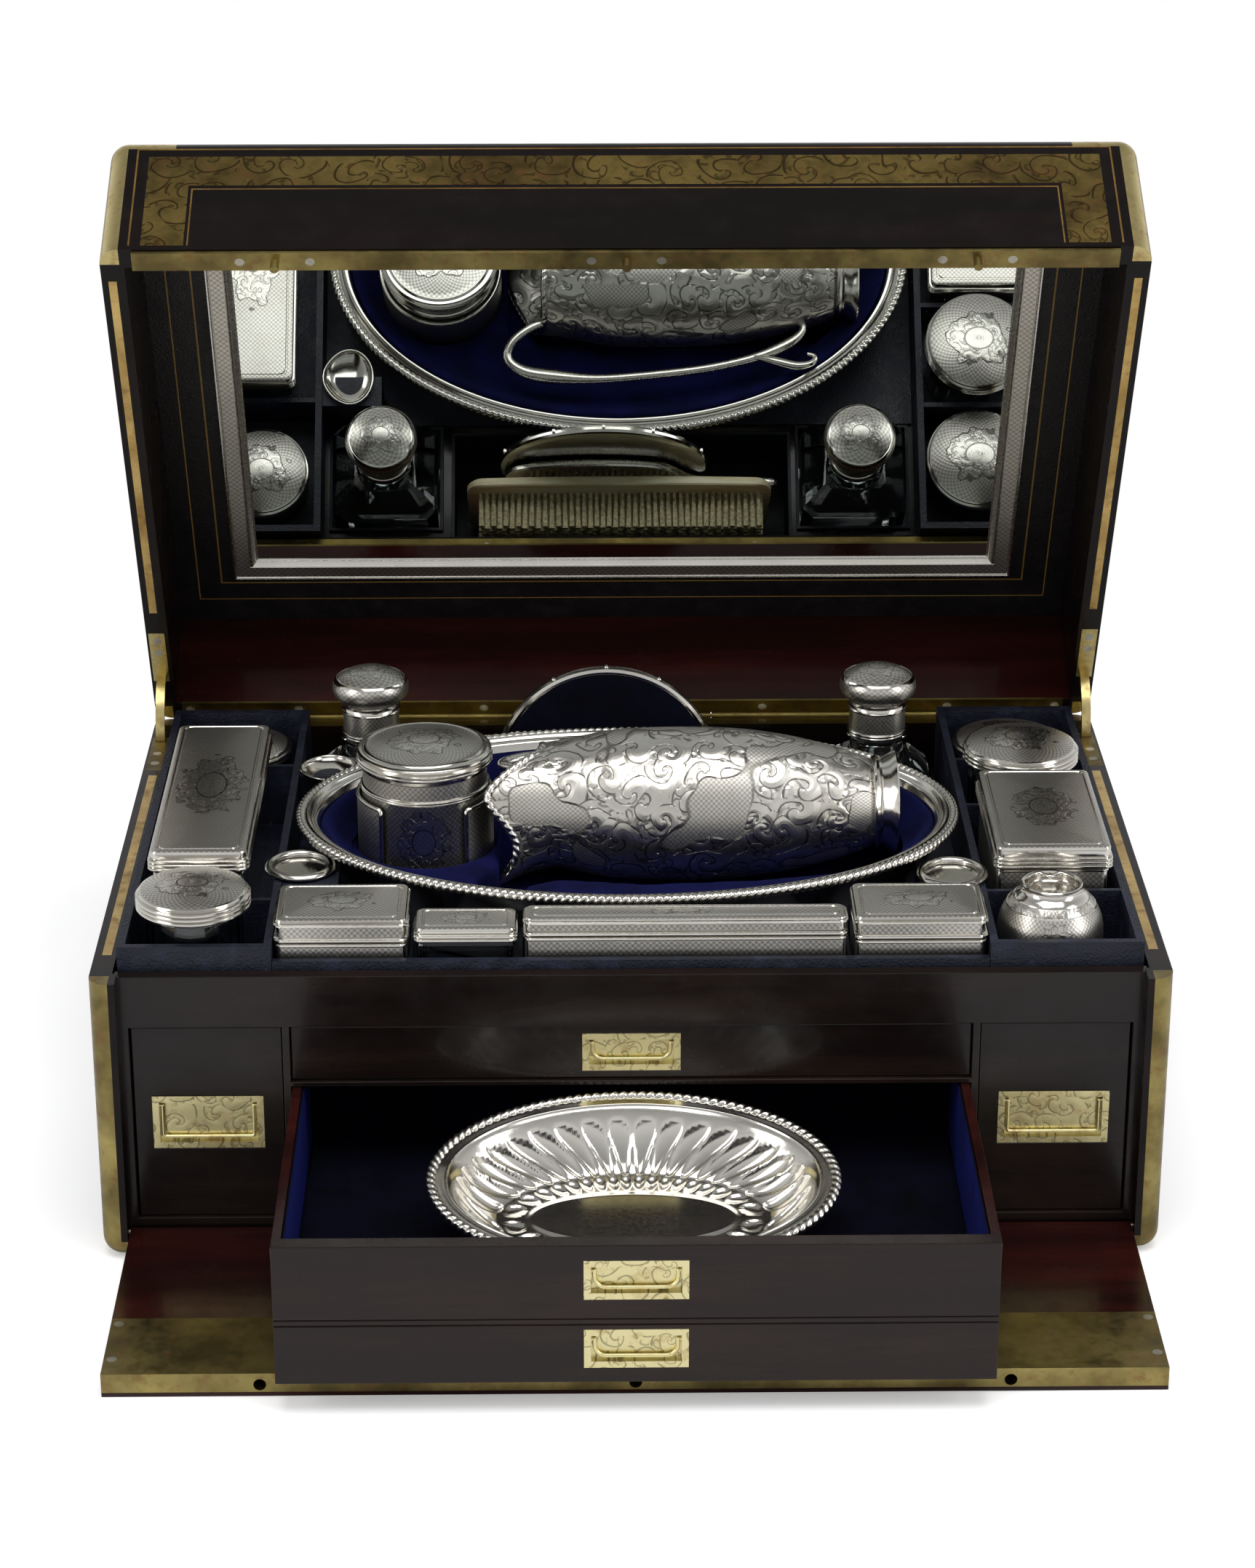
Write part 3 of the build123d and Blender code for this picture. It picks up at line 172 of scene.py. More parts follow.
# %% Veneer
def coromandel(name, dark, streak, red_zone=None, space_of=(), polish=0.24):
    """Dark polished veneer; red_zone is a box, in space_of, where it is red-brown."""
    finish, add = new_finish(name, Coat_Weight=polish * 0.5, Coat_Roughness=0.08,
                             Specular_IOR_Level=polish)
    grain, plain = pattern_space(add, stretch=(9.0, 1.0, 1.0)), pattern_space(add)
    broad = add("TexNoise", [grain, None, 1000 / 26, 4.0, 0.55])
    fine = add("TexNoise", [grain, None, 1000 / 2.2, 5.0, 0.7])
    cloud = add("TexNoise", [plain, None, 1000 / 90, 2.0, 0.55])
    hazy = add("TexNoise", [plain, None, 1000 / 14, 4.0, 0.55])
    streaks = add("Math", [add("MapRange", [broad, 0.42, 0.68]),
                           add("MapRange", [cloud, 0.3, 0.7, 0.35, 1.0])],
                  operation="MULTIPLY")
    figure = add("Mix", {0: streaks, 6: dark, 7: streak}, 2, data_type="RGBA")
    if red_zone:
        zone = inside_box(add, pattern_space(add, *space_of), *red_zone)
        red = add("Mix", {0: streaks, 6: "#1f0b09", 7: "#3c1512"}, 2, data_type="RGBA")
        figure = add("Mix", {0: zone, 6: figure, 7: red}, 2, data_type="RGBA")
    pores = add("MapRange", [fine, 0.35, 0.62, 0.72, 1.0])
    return join(
        finish, Base_Color=add("Mix", {0: pores, 6: "#0a0605", 7: figure}, 2, data_type="RGBA"),
        Roughness=add("MapRange", [hazy, 0.3, 0.7, 0.16, 0.3]),
        Normal=add("Bump", {"Strength": 0.4, "Distance": 0.03 * MM, "Height": fine}))


LID_SPACE = ((0, 158, 138.2), (-LID_ANGLE, 0, 0))
veneer_black = coromandel("coromandel_black", "#0c0807", "#22140f", polish=0.13)
veneer_lid = coromandel("coromandel_lid", "#0a0605", "#1a0f0b", space_of=LID_SPACE, polish=0.14,
                        red_zone=((-229.5, -13.0, 0.5), (229.5, -10.0, 69.0)))
veneer_front = coromandel("coromandel_front", "#17110f", "#2c201b")
veneer_drawer = coromandel("coromandel_drawer", "#1c1310", "#2c1c16",
                           red_zone=((-152.2, -283.3, 14.0), (152.2, 45.0, 109.9)))
veneer_red = coromandel("coromandel_red", "#1d0907", "#3a1410")
print("veneers", veneer_black.name, veneer_red.name)

# %% [markdown]
# ### Brass
# The brass has not been lacquered: it is yellow where hands and cloths have rubbed
# it, and brown to rose where they have not. Three sizes of noise make that change of
# colour. The engraved pieces are cut with scrolls, which are spirals round the
# points of a Voronoi pattern, so no two curls are alike.

# %% Scroll engraving
def flat_vector(add, vector, plane, radius_mm=30.0):
    """Two coordinates of a surface: of a plane such as XZ, round a wall, or round a top."""
    parts = add("SeparateXYZ", [vector], None).outputs
    if plane not in ("WALL", "TOP"):
        return add("CombineXYZ", [parts["XYZ".index(axis)] for axis in plane])
    angle = add("Math", [parts[1], parts[0]], operation="ARCTAN2")
    around = add("Math", [angle, radius_mm * MM], operation="MULTIPLY")
    if plane == "WALL":
        return add("CombineXYZ", [around, parts[2]])
    level = add("VectorMath", [vector, (1.0, 1.0, 0.0)], operation="MULTIPLY")
    return add("CombineXYZ", [around, add("VectorMath", [level], "Value", operation="LENGTH")])


def spiral_cells(add, flat, cell_mm, turns):
    """0 on a spiral's line and 0.5 between lines, with one spiral to each cell."""
    cell = add("TexVoronoi", {"Vector": flat, "Scale": 1000 / cell_mm, "Randomness": 0.85},
               None, voronoi_dimensions="2D", feature="F1").outputs
    away = add("VectorMath", [flat, cell["Position"]], operation="SUBTRACT")
    parts = add("SeparateXYZ", [away], None).outputs
    angle = add("Math", [parts[1], parts[0]], operation="ARCTAN2")
    length = add("VectorMath", [away], "Value", operation="LENGTH")
    radius = add("Math", [length, 1000 / cell_mm, 0.02], operation="MULTIPLY_ADD")
    wound = add("Math", [add("Math", [radius, math.e], operation="LOGARITHM"), turns],
                operation="MULTIPLY")
    side = add("Math", [add("SeparateColor", [cell["Color"]]), 0.5], operation="GREATER_THAN")
    hand = add("Math", [side, 2.0, -1.0], operation="MULTIPLY_ADD")
    turned = add("Math", [angle, 2 * math.pi], operation="DIVIDE")
    phase = add("Math", [wound, hand, turned], operation="MULTIPLY_ADD")
    return add("Math", [phase, 0.5], operation="PINGPONG")


def scroll_pattern(add, flat, cell_mm):
    """Chased scrolls: how high each point stands, and how dark its graver lines are."""
    wobble = add("TexNoise", [flat, None, 700 / cell_mm, 1.0, 0.5], 1)
    moved = add("VectorMath", [wobble, (0.5 * cell_mm * MM,) * 3, flat],
                operation="MULTIPLY_ADD")
    large = spiral_cells(add, moved, cell_mm, 0.75)
    leaf = spiral_cells(add, moved, cell_mm * 0.4, 1.1)
    ribbon = add("MapRange", [large, 0.17, 0.22])
    height = add("Mix", {0: ribbon, 6: add("MapRange", [leaf, 0.12, 0.4, 0.0, 0.5]),
                         7: add("MapRange", [large, 0.17, 0.42, 0.35, 1.0])}, 2,
                 data_type="RGBA")
    leaf_line = add("Math", [add("MapRange", [leaf, 0.05, 0.14, 0.7, 0.0]),
                             add("Math", [1.0, ribbon], operation="SUBTRACT")],
                    operation="MULTIPLY")
    return height, add("Math", [line_at(add, large, 0.18, 0.012, 0.05), leaf_line],
                       operation="MAXIMUM")


# %% Brass finishes
def brass(name, bright, dull, rose, rough=0.3, age=0.5, engraved=None, cell_mm=7.0,
          line_dark=0.6, space_of=()):
    """Rubbed brass; engraved names the plane that its scrolls are cut in."""
    finish, add = new_finish(name, Metallic=1.0)
    space = pattern_space(add, *space_of)
    cloud = add("TexNoise", [space, None, 1000 / 38, 4.0, 0.6])
    spots = add("TexNoise", [space, None, 1000 / 7, 4.0, 0.65])
    wear = add("TexNoise", [space, None, 1000 / 0.9, 3.0, 0.7])
    dirt = add("MapRange", [cloud, age - 0.12, age + 0.16])
    colour = add("Mix", {0: dirt, 6: bright, 7: dull}, 2, data_type="RGBA")
    bloom = add("MapRange", [spots, 0.52, 0.72, 0.0, 0.7])
    colour = add("Mix", {0: bloom, 6: colour, 7: rose}, 2, data_type="RGBA")
    height = add("Bump", {"Strength": 0.5, "Distance": 0.02 * MM, "Height": wear})
    if engraved:
        stands, cuts = scroll_pattern(add, flat_vector(add, space, engraved), cell_mm)
        cuts = add("Math", [cuts, line_dark], operation="MULTIPLY")
        colour = add("Mix", {0: cuts, 6: colour, 7: "#2e2110"}, 2, data_type="RGBA")
        height = add("Bump", {"Strength": 0.6, "Distance": 0.12 * MM, "Height": stands,
                              "Normal": height})
    return join(finish, Base_Color=colour, Normal=height,
                Roughness=add("MapRange", [spots, 0.3, 0.75, rough - 0.06, rough + 0.16]))


brass_bright = brass("brass_polished", "#c6b67e", "#9c8c58", "#93724a", 0.24, 0.62)
brass_dull = brass("brass_dulled", "#a3945c", "#655a38", "#7e5b3c", 0.34, 0.45)
brass_band = brass("brass_engraved_band", "#85733f", "#5a4a28", "#6a4429", 0.32, 0.5, "XZ",
                   19.0, 0.85, LID_SPACE)
brass_plate = brass("brass_engraved_plate", "#e2d8a6", "#cdbd84", "#bb9f68", 0.34, 0.66, "XZ",
                    12.0, 0.55)
brass_bail = brass("brass_bail", "#e2d8a6", "#c9b87c", "#b3965e", 0.3, 0.66)
brass_dark = brass("brass_in_the_sockets", "#8a7a44", "#5c5130", "#6a4a2f", 0.4, 0.45)
brass_string = brass("brass_stringing", "#b08a4c", "#7c5f33", "#7d4f33")
brass_strip = brass("brass_let_into_the_rims", "#d6b878", "#a88a52", "#8a6540")
steel_screw = brass("steel_screw_head", "#b9b6ac", "#8b877c", "#6d6a60", 0.3, 0.55)
print("brass made")

# %% [markdown]
# ### Silver
# Silver is the palest of metals. Most pieces are engine-turned: a lathe cut crossing
# lines that leave rows of tiny points, about 1.7 mm apart here, which is a little
# coarser than the real work, so that they show. In the middle of each lid the points
# stop at a bare oval, which is framed by engraved scrolls.

# %% Silver finishes
TURNING_DEPTH = 0.05 * MM


def diaper_height(add, flat, pitch_mm):
    """Crossing lines that leave small points, from 0 in the grooves to 1 on the points."""
    parts = add("SeparateXYZ", [flat], None).outputs
    rate = 2 * math.pi / (pitch_mm * MM) / math.sqrt(2)
    waves = []
    for way in ("ADD", "SUBTRACT"):
        along = add("Math", [parts[0], parts[1]], operation=way)
        along = add("Math", [along, rate], operation="MULTIPLY")
        waves.append(add("Math", [along], operation="SINE"))
    return add("MapRange", [add("Math", waves, operation="ADD"), -1.6, 1.6])


def silver(name, turned_plane=None, cartouche=None, centre=(0, 0, 0), turn=(0, 0, 0),
           rough=0.16, scrolls=None, pitch_mm=1.7, tint="#d3d0c9", use_uv=False, cell_mm=9.0,
           radius_mm=30.0, crevices=False, relief_mm=0.12, patch_at=0.447):
    """Silver, plain or with engine turning, scroll engraving and a framed bare oval."""
    finish, add = new_finish(name, Metallic=1.0)
    space = pattern_space(add, centre, turn)
    if use_uv:
        flat = add("UVMap", uv_map="surface")
    else:
        flat = flat_vector(add, space, turned_plane or "XY", radius_mm)
    middle = flat_vector(add, space, "XY") if turned_plane == "TOP" else flat
    grime = add("MapRange", [add("TexNoise", [space, None, 1000 / 30, 3.0, 0.55]),
                             0.4, 0.75, 0.0, 0.3])
    colour = add("Mix", {0: grime, 6: tint, 7: "#a59f93"}, 2, data_type="RGBA")
    if crevices:
        ridge = add("NewGeometry", out="Pointiness")
        colour = add("Mix", {0: add("MapRange", [ridge, 0.46, 0.51, 0.8, 0.0]), 6: colour,
                             7: "#1d1a17"}, 2, data_type="RGBA")
    rubbed = add("TexNoise", [space, None, 1000 / 1.4, 3.0, 0.7])
    roughness = add("MapRange", [rubbed, 0.2, 0.8, rough - 0.04, rough + 0.08])
    height = add("Bump", {"Strength": 0.4, "Distance": 0.01 * MM, "Height": rubbed})
    turned = 1.0 if turned_plane or use_uv else None
    if scrolls or cartouche:
        stands, lines = scroll_pattern(add, middle, cell_mm)
        if cartouche:
            # scrolls fill a ring round a bare oval, and its outer edge wanders
            half_u, half_v = cartouche
            squeezed = add("VectorMath", [middle, (1000 / half_u, 1000 / half_v, 0.0)],
                           operation="MULTIPLY")
            oval = add("VectorMath", [squeezed], "Value", operation="LENGTH")
            wander = add("TexNoise", [middle, None, 1000 / (half_u * 0.55), 1.0, 0.55])
            edge = add("Math", [oval, add("MapRange", [wander, 0.3, 0.7, -0.22, 0.22])],
                       operation="ADD")
            outside = add("MapRange", [edge, 0.93, 0.98])
            turned = add("MapRange", [outside, 0.0, 1.0, 0.4, 1.0])
            engraved = add("Math", [add("MapRange", [oval, 0.42, 0.46]), outside],
                           operation="SUBTRACT", use_clamp=True)
            border = add("Math", [line_at(add, oval, 0.44, 0.015, 0.0375),
                                  line_at(add, edge, 0.96, 0.015, 0.0375)],
                         operation="MAXIMUM")
        else:
            # scrolls fill the blots of a noise, and the turning fills the rest
            patch = add("TexNoise", [flat, None, 1000 / scrolls, 1.5, 0.4])
            engraved = add("MapRange", [patch, patch_at - 0.007, patch_at + 0.008])
            turned = add("Math", [1.0, engraved], operation="SUBTRACT")
            border = line_at(add, patch, patch_at, 0.002, 0.01, 0.8)
        stands = add("Math", [stands, engraved], operation="MULTIPLY")
        lines = add("Math", [lines, engraved], operation="MULTIPLY")
        lines = add("Math", [lines, border], operation="MAXIMUM")
        lines = add("Math", [lines, 0.72 if cartouche else 0.8], operation="MULTIPLY")
        colour = add("Mix", {0: lines, 6: colour, 7: "#2c2924"}, 2, data_type="RGBA")
        height = add("Bump", {"Strength": 0.9, "Distance": relief_mm * MM, "Height": stands,
                              "Normal": height})
    if turned is not None:
        points = diaper_height(add, flat, pitch_mm)
        grooves = add("Math", [add("Math", [1.0, points], operation="SUBTRACT"), turned],
                      operation="MULTIPLY")
        grooves = add("Math", [grooves, 0.52], operation="MULTIPLY")
        colour = add("Mix", {0: grooves, 6: colour, 7: "#423e38"}, 2, data_type="RGBA")
        points = add("Math", [points, turned], operation="MULTIPLY")
        height = add("Bump", {"Strength": 0.7, "Distance": TURNING_DEPTH, "Height": points,
                              "Normal": height})
        roughness = add("Math", [turned, 0.12, roughness], operation="MULTIPLY_ADD")
    return join(finish, Base_Color=colour, Roughness=roughness, Normal=height)


silver_plain = silver("silver_burnished", rough=0.13)
silver_soft = silver("silver_rubbed", rough=0.24)
silver_rope = silver("silver_rope", rough=0.2, crevices=True)
silver_groove = silver("silver_tarnished_groove", rough=0.45, tint="#2e2a25")
print("silver made")

# %% [markdown]
# ### Velvet, leather, glass, mirror, bone and bristle
# Velvet is dark face on and pale at its edges, because its pile stands up: that is
# sheen over a very deep blue. The trays are covered in grained morocco leather. Bone
# is a soft yellow-white, and the brushes are filled with pale bristle.

# %% Soft and clear finishes
def velvet(name, deep, pile, sheen):
    finish, add = new_finish(name, Sheen_Weight=sheen, Sheen_Roughness=0.3, Roughness=0.95,
                             Specular_IOR_Level=0.1, Sheen_Tint="#2a35a0")
    space = pattern_space(add)
    brushed = add("TexNoise", [space, None, 1000 / 22, 3.0, 0.6])
    nap = add("TexNoise", [space, None, 1000 / 1.1, 3.0, 0.8])
    colour = add("Mix", {0: add("MapRange", [brushed, 0.35, 0.68]), 6: deep, 7: pile}, 2,
                 data_type="RGBA")
    colour = add("Mix", {0: add("MapRange", [nap, 0.4, 0.75, 0.0, 0.5]), 6: colour,
                         7: "#02030c"}, 2, data_type="RGBA")
    return join(finish, Base_Color=colour, Normal=add(
        "Bump", {"Strength": 0.6, "Distance": 0.25 * MM, "Height": nap}))


def morocco(name, ground, worn, gilt_lines=False):
    """Grained leather; on the lid two gilt lines run round the mirror."""
    finish, add = new_finish(name, Specular_IOR_Level=0.4)
    space = pattern_space(add)
    pebble = add("TexVoronoi", {"Vector": space, "Scale": 900.0}, feature="SMOOTH_F1")
    scuff = add("TexNoise", [space, None, 1000 / 11, 5.0, 0.7])
    colour = add("Mix", {0: add("MapRange", [scuff, 0.5, 0.75, 0.0, 0.8]), 6: ground, 7: worn},
                 2, data_type="RGBA")
    if gilt_lines:
        parts = add("SeparateXYZ", [pattern_space(add, *LID_SPACE)], None).outputs
        from_edge = [add("Math", [off_middle(add, part, middle), half], operation="SUBTRACT")
                     for part, middle, half in ((parts[0], 0.0, 0.207),
                                                (parts[1], -0.158, 0.120))]
        ring = add("Math", from_edge, operation="MAXIMUM")
        lines = [add("Math", [off_middle(add, ring, at), half], operation="LESS_THAN")
                 for at, half in ((0.0, 0.0004), (0.012, 0.0003))]
        colour = add("Mix", {0: add("Math", lines, operation="MAXIMUM"), 6: colour,
                             7: "#8a6a34"}, 2, data_type="RGBA")
    return join(finish, Base_Color=colour,
                Roughness=add("MapRange", [scuff, 0.3, 0.7, 0.42, 0.62]),
                Normal=add("Bump", {"Strength": 0.7, "Distance": 0.35 * MM, "Height": pebble}))


def mottled(name, light, dark, blot_mm, detail, stretch=(1, 1, 1), **values):
    """A plain surface with faint blots, for bone and bristle."""
    finish, add = new_finish(name, **values)
    blots = add("TexNoise", [pattern_space(add, stretch=stretch), None, 1000 / blot_mm, detail,
                             0.55])
    return join(finish, Base_Color=add(
        "Mix", {0: add("MapRange", [blots, 0.35, 0.7]), 6: light, 7: dark}, 2,
        data_type="RGBA"))


velvet_blue = velvet("velvet_blue", "#07092a", "#0f1348", 0.22)
# a bluer copy of the velvet for the lit walls of the drawer linings: painted light
velvet_painted_lit_walls = velvet("velvet_lit_walls_painted", "#060934", "#0e1452", 0.2)
# a darker copy with little sheen, for velvet that lies in shade: painted shade
velvet_painted_shade = velvet("velvet_in_shade", "#020309", "#05071a", 0.06)
leather_blue = morocco("morocco_blue_black", "#111523", "#2a3046")
leather_lid = morocco("morocco_black", "#0b0809", "#171011", gilt_lines=True)
flint_glass, _ = new_finish("flint_glass", Transmission_Weight=1.0, Roughness=0.02, IOR=1.52,
                            Base_Color="#e6ecec")
bone = mottled("turned_bone", "#e9dfbf", "#c9b98c", 4.0, 4.0, (8.0, 1.0, 1.0), Roughness=0.35,
               Subsurface_Weight=0.1)
bristle = mottled("pale_bristle", "#d9cda0", "#8f8560", 1.5, 2.0, Roughness=0.6)

# old mirror glass has small dark specks where its silvering has gone
looking_glass, add = new_finish("looking_glass", Metallic=1.0)
place = pattern_space(add)
specks = add("Math", [
    add("MapRange", [add("TexNoise", [place, None, 1000 / 1.2, 4.0, 0.7]), 0.66, 0.72]),
    add("MapRange", [add("TexNoise", [place, None, 1000 / 60, 2.0, 0.55]), 0.55, 0.65])],
    operation="MULTIPLY")
join(looking_glass, Roughness=add("MapRange", [specks, 0.0, 1.0, 0.01, 0.3]), Base_Color=add(
    "Mix", {0: specks, 6: "#c9cdca", 7: "#585a56"}, 2, data_type="RGBA"))
print("soft and clear finishes made")

# %% [markdown]
# ## Dressing the case
# Most of the case needs no new shape: its frame pieces are already right, and each only takes
# its finish. On the veneered pieces a narrow Bevel modifier after a Weld rounds the arrises by
# half a millimetre, so that polished edges catch the light.

# %% Finishes on the frame's own pieces
ARRIS = 0.5 * MM


def dress(node, finish):
    piece = frame["nodes"][node]
    piece.data.materials.clear()
    piece.data.materials.append(finish)
    if finish.name.startswith("coromandel"):
        piece.modifiers.new("weld", "WELD").merge_threshold = 0.002 * MM
        arris = piece.modifiers.new("arris", "BEVEL")
        arris.width, arris.segments = ARRIS, 2
        arris.limit_method, arris.angle_limit = "ANGLE", math.radians(50)


dressing = (
    (veneer_black, "carcase"), (veneer_lid, "lid_shell"), (veneer_red, "fall_front_panel"),
    (veneer_front, "drawer_frame left_drawer right_drawer top_drawer"),
    (veneer_drawer, "centre_drawer"), (looking_glass, "mirror_glass"),
    (leather_blue, "back_wells front_tray left_tray right_tray"), (leather_lid, "lid_lining"),
    (brass_bright, "lid_corner_bindings stay_arms"),
    (brass_dull, "base_corner_bindings lid_front_rail fall_front_plate"),
    (brass_dark, "hinge_base_leaf hinge_lid_leaf stay_sockets"),
    (brass_plate, "left_plate right_plate top_plate centre_plates"),
    (brass_bail, "left_bail right_bail top_bail upper_bail lower_bail"),
    (steel_screw, "base_screws lid_screws fall_front_fittings"))
for finish, nodes in dressing:
    for node in nodes.split():
        dress(node, finish)
    print(finish.name, "on", nodes)

# %% [markdown]
# ## Making round and boxed pieces
# A silversmith raises a bowl from a flat disc, ring by ring. The same is done here: a
# circle, or a rectangle with rounded corners, is drawn up by extruding its face and
# scaling it to each next ring. The rings follow a list of insets and heights, so the
# piece's section can be read off the list. A reed is a small half-round bead.

# %% Raising a piece
def start_piece(piece=None):
    """Leaves edit mode and deselects everything, or all but one piece."""
    if bpy.context.object and bpy.context.object.mode != "OBJECT":
        bpy.ops.object.mode_set(mode="OBJECT")
    bpy.ops.object.select_all(action="DESELECT")
    if piece:
        piece.select_set(True)
        bpy.context.view_layer.objects.active = piece


def face_outwards(piece, merge=True):
    """Recalculates a closed piece's normals, after its doubles are merged."""
    start_piece(piece)
    bpy.ops.object.mode_set(mode="EDIT")
    bpy.ops.mesh.select_all(action="SELECT")
    if merge:
        bpy.ops.mesh.remove_doubles(threshold=0.01 * MM)
    bpy.ops.mesh.normals_make_consistent(inside=False)
    bpy.ops.object.mode_set(mode="OBJECT")


def close_piece(piece, name, angle=32.0):
    """Leaves a piece closed, facing outwards, smooth and named."""
    face_outwards(piece)
    bpy.ops.object.shade_smooth_by_angle(angle=math.radians(angle))
    piece.name = piece.data.name = name
    return piece


def first_outline(centre, half, z, corner=None, segments=72, corner_steps=6):
    start_piece()
    place = (centre[0] * MM, centre[1] * MM, z * MM)
    if corner is None:
        bpy.ops.mesh.primitive_circle_add(vertices=segments, radius=1.0, fill_type="NGON",
                                          location=place)
    else:
        bpy.ops.mesh.primitive_plane_add(size=2.0, location=place)
    piece = bpy.context.object
    piece.scale = (half[0] * MM, half[1] * MM, 1.0)
    bpy.ops.object.transform_apply(location=True, rotation=True, scale=True)
    bpy.ops.object.mode_set(mode="EDIT")
    bpy.ops.mesh.select_all(action="SELECT")
    if corner:
        bpy.ops.mesh.bevel(offset=corner * MM, segments=corner_steps, affect="VERTICES")
        bpy.ops.mesh.select_all(action="SELECT")
    return piece


def raised(name, centre, half, steps, corner=None, segments=72, angle=32.0, corner_steps=6,
           hollow=False):
    """Draws an outline up through steps of (inset, height); a hollow one ends as it began."""
    inset, z = steps[0]
    size = [side - inset for side in half]
    piece = first_outline(centre, size, z, corner, segments, corner_steps)
    extrude = bpy.ops.mesh.extrude_region_move
    if hollow:
        extrude = bpy.ops.mesh.extrude_edges_move
        bpy.ops.mesh.delete(type="ONLY_FACE")
        bpy.ops.mesh.select_all(action="SELECT")
        steps = steps + steps[:1]
    for inset, height in steps[1:]:
        extrude(TRANSFORM_OT_translate={"value": (0, 0, (height - z) * MM)})
        new_size = [side - inset for side in half]
        bpy.ops.transform.resize(
            value=(new_size[0] / size[0], new_size[1] / size[1], 1.0),
            center_override=(centre[0] * MM, centre[1] * MM, height * MM))
        size, z = new_size, height
    return close_piece(piece, name, angle)


def reeds(inset, z, radius, count):
    """Steps that swell out by half-round beads, one above the other from height z."""
    turns = [math.radians(a) for a in (-90, -50, -15, 20, 55, 90)]
    return [(inset - radius * math.cos(a), z + radius * (2 * number + 1) + radius * math.sin(a))
            for number in range(count) for a in turns]


def give(piece, body, slot, finish, *nodes):
    """Hands a finished piece its material, its body and the frame pieces it stands for."""
    piece.data.materials.clear()
    for one in (finish if isinstance(finish, (list, tuple)) else [finish]):
        piece.data.materials.append(one)
    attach(piece, body)
    if nodes:
        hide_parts(*nodes)
    return piece


def paint_faces(piece, number, test):
    """Gives material number to each face whose centre and normal pass the test."""
    for face in piece.data.polygons:
        if test(face.center / MM, face.normal):
            face.material_index = number


# %% [markdown]
# ### Jars and boxes with silver covers
# Each jar is a cut glass body under a silver cover. A cover has two or three reeds
# round its edge, a slightly crowned top with engine turning, and a bare oval. The
# glass is cut in flat facets, so its outline is a polygon with few sides, not shaded
# smooth.

# %% Round jars
FLOOR_OF_THE_TRAYS = 117.0


def crowned(inset, reach, height, rise, shares, power=1.0):
    """Steps over a rounded top: how far in they lie and how high they are."""
    return [(inset + reach * share, height + rise * math.sin(share * math.pi / 2) ** power)
            for share in shares]


def round_cover(name, x, y, radius, low, top, reed_count, body, *nodes):
    reed_radius = 1.05
    steps = [(1.5, low)] + reeds(0.9, low + 0.4, reed_radius, reed_count)
    edge = low + 0.4 + 2 * reed_radius * reed_count
    steps += [(1.4, edge + 0.2), (1.2, edge + 1.0), (1.6, edge + 1.6), (2.4, edge + 1.9)]
    steps += crowned(2.4, radius - 2.4, edge + 1.9, top - edge - 1.9,
                     (0.1, 0.2, 0.35, 0.5, 0.65, 0.8, 0.92, 0.985), 0.9)
    cover = raised(name, (x, y), (radius, radius), steps, segments=96)
    finish = silver(name + "_finish", "TOP", (radius * 0.62, radius * 0.5), (x, y, 0),
                    radius_mm=radius * 0.7, rough=0.2, cell_mm=7.0)
    give(cover, body, "silver", [finish, silver_plain], *nodes)
    paint_faces(cover, 1, lambda c, n: c.z < edge + 1.8)


def cut_glass_body(name, centre, half, high, body, *nodes, corner=None):
    low, wall = FLOOR_OF_THE_TRAYS, 2.6
    steps = [(1.2, low), (0.2, low + 1.2), (0.0, low + 2.5), (0.0, high - 1.5), (0.8, high),
             (wall, high), (wall + 0.2, low + 6.0), (wall + 2.0, low + 4.2)]
    glass = raised(name, centre, half, steps, corner=corner, segments=20, angle=12.0,
                   corner_steps=2)
    give(glass, body, "glass", flint_glass, *nodes)


# piece, body, frame node, x, y, glass radius, cover radius, glass top, top, reeds
jar_table = (
    ("round_jar_left%s", "round_jar_left", "round_jar_left", -196.1, -113.6, 22.0, 25.8, 156.0,
     168.0, 3),
    ("round_jar_right%s", "round_jar_right", "round_jar_right", 192.0, 46.6, 25.0, 28.0, 159.0,
     172.0, 3),
    ("back_jar%s_0", "back_jars", "back_jars", -192.0, 110.0, 23.5, 25.0, 137.0, 148.0, 2),
    ("back_jar%s_1", "back_jars", "back_jars", 192.75, 105.0, 27.5, 28.3, 140.0, 152.0, 2))
for name, body, node, x, y, glass_r, cover_r, seat, top, count in jar_table:
    cut_glass_body(name % "_glass", (x, y), (glass_r, glass_r), seat, body + "_unit", node)
    round_cover(name % "_cover", x, y, cover_r, seat + 0.2, top, count, body + "_unit", node)
print("round jars made")

# %% Boxes with rounded corners
COVER_REED = 0.95


def on_side(axis, low, high):
    """A test for the upright faces that look along an axis, between two heights."""
    return lambda c, n: low < c.z < high and abs(n.z) < 0.2 and abs(n[axis]) > 0.8


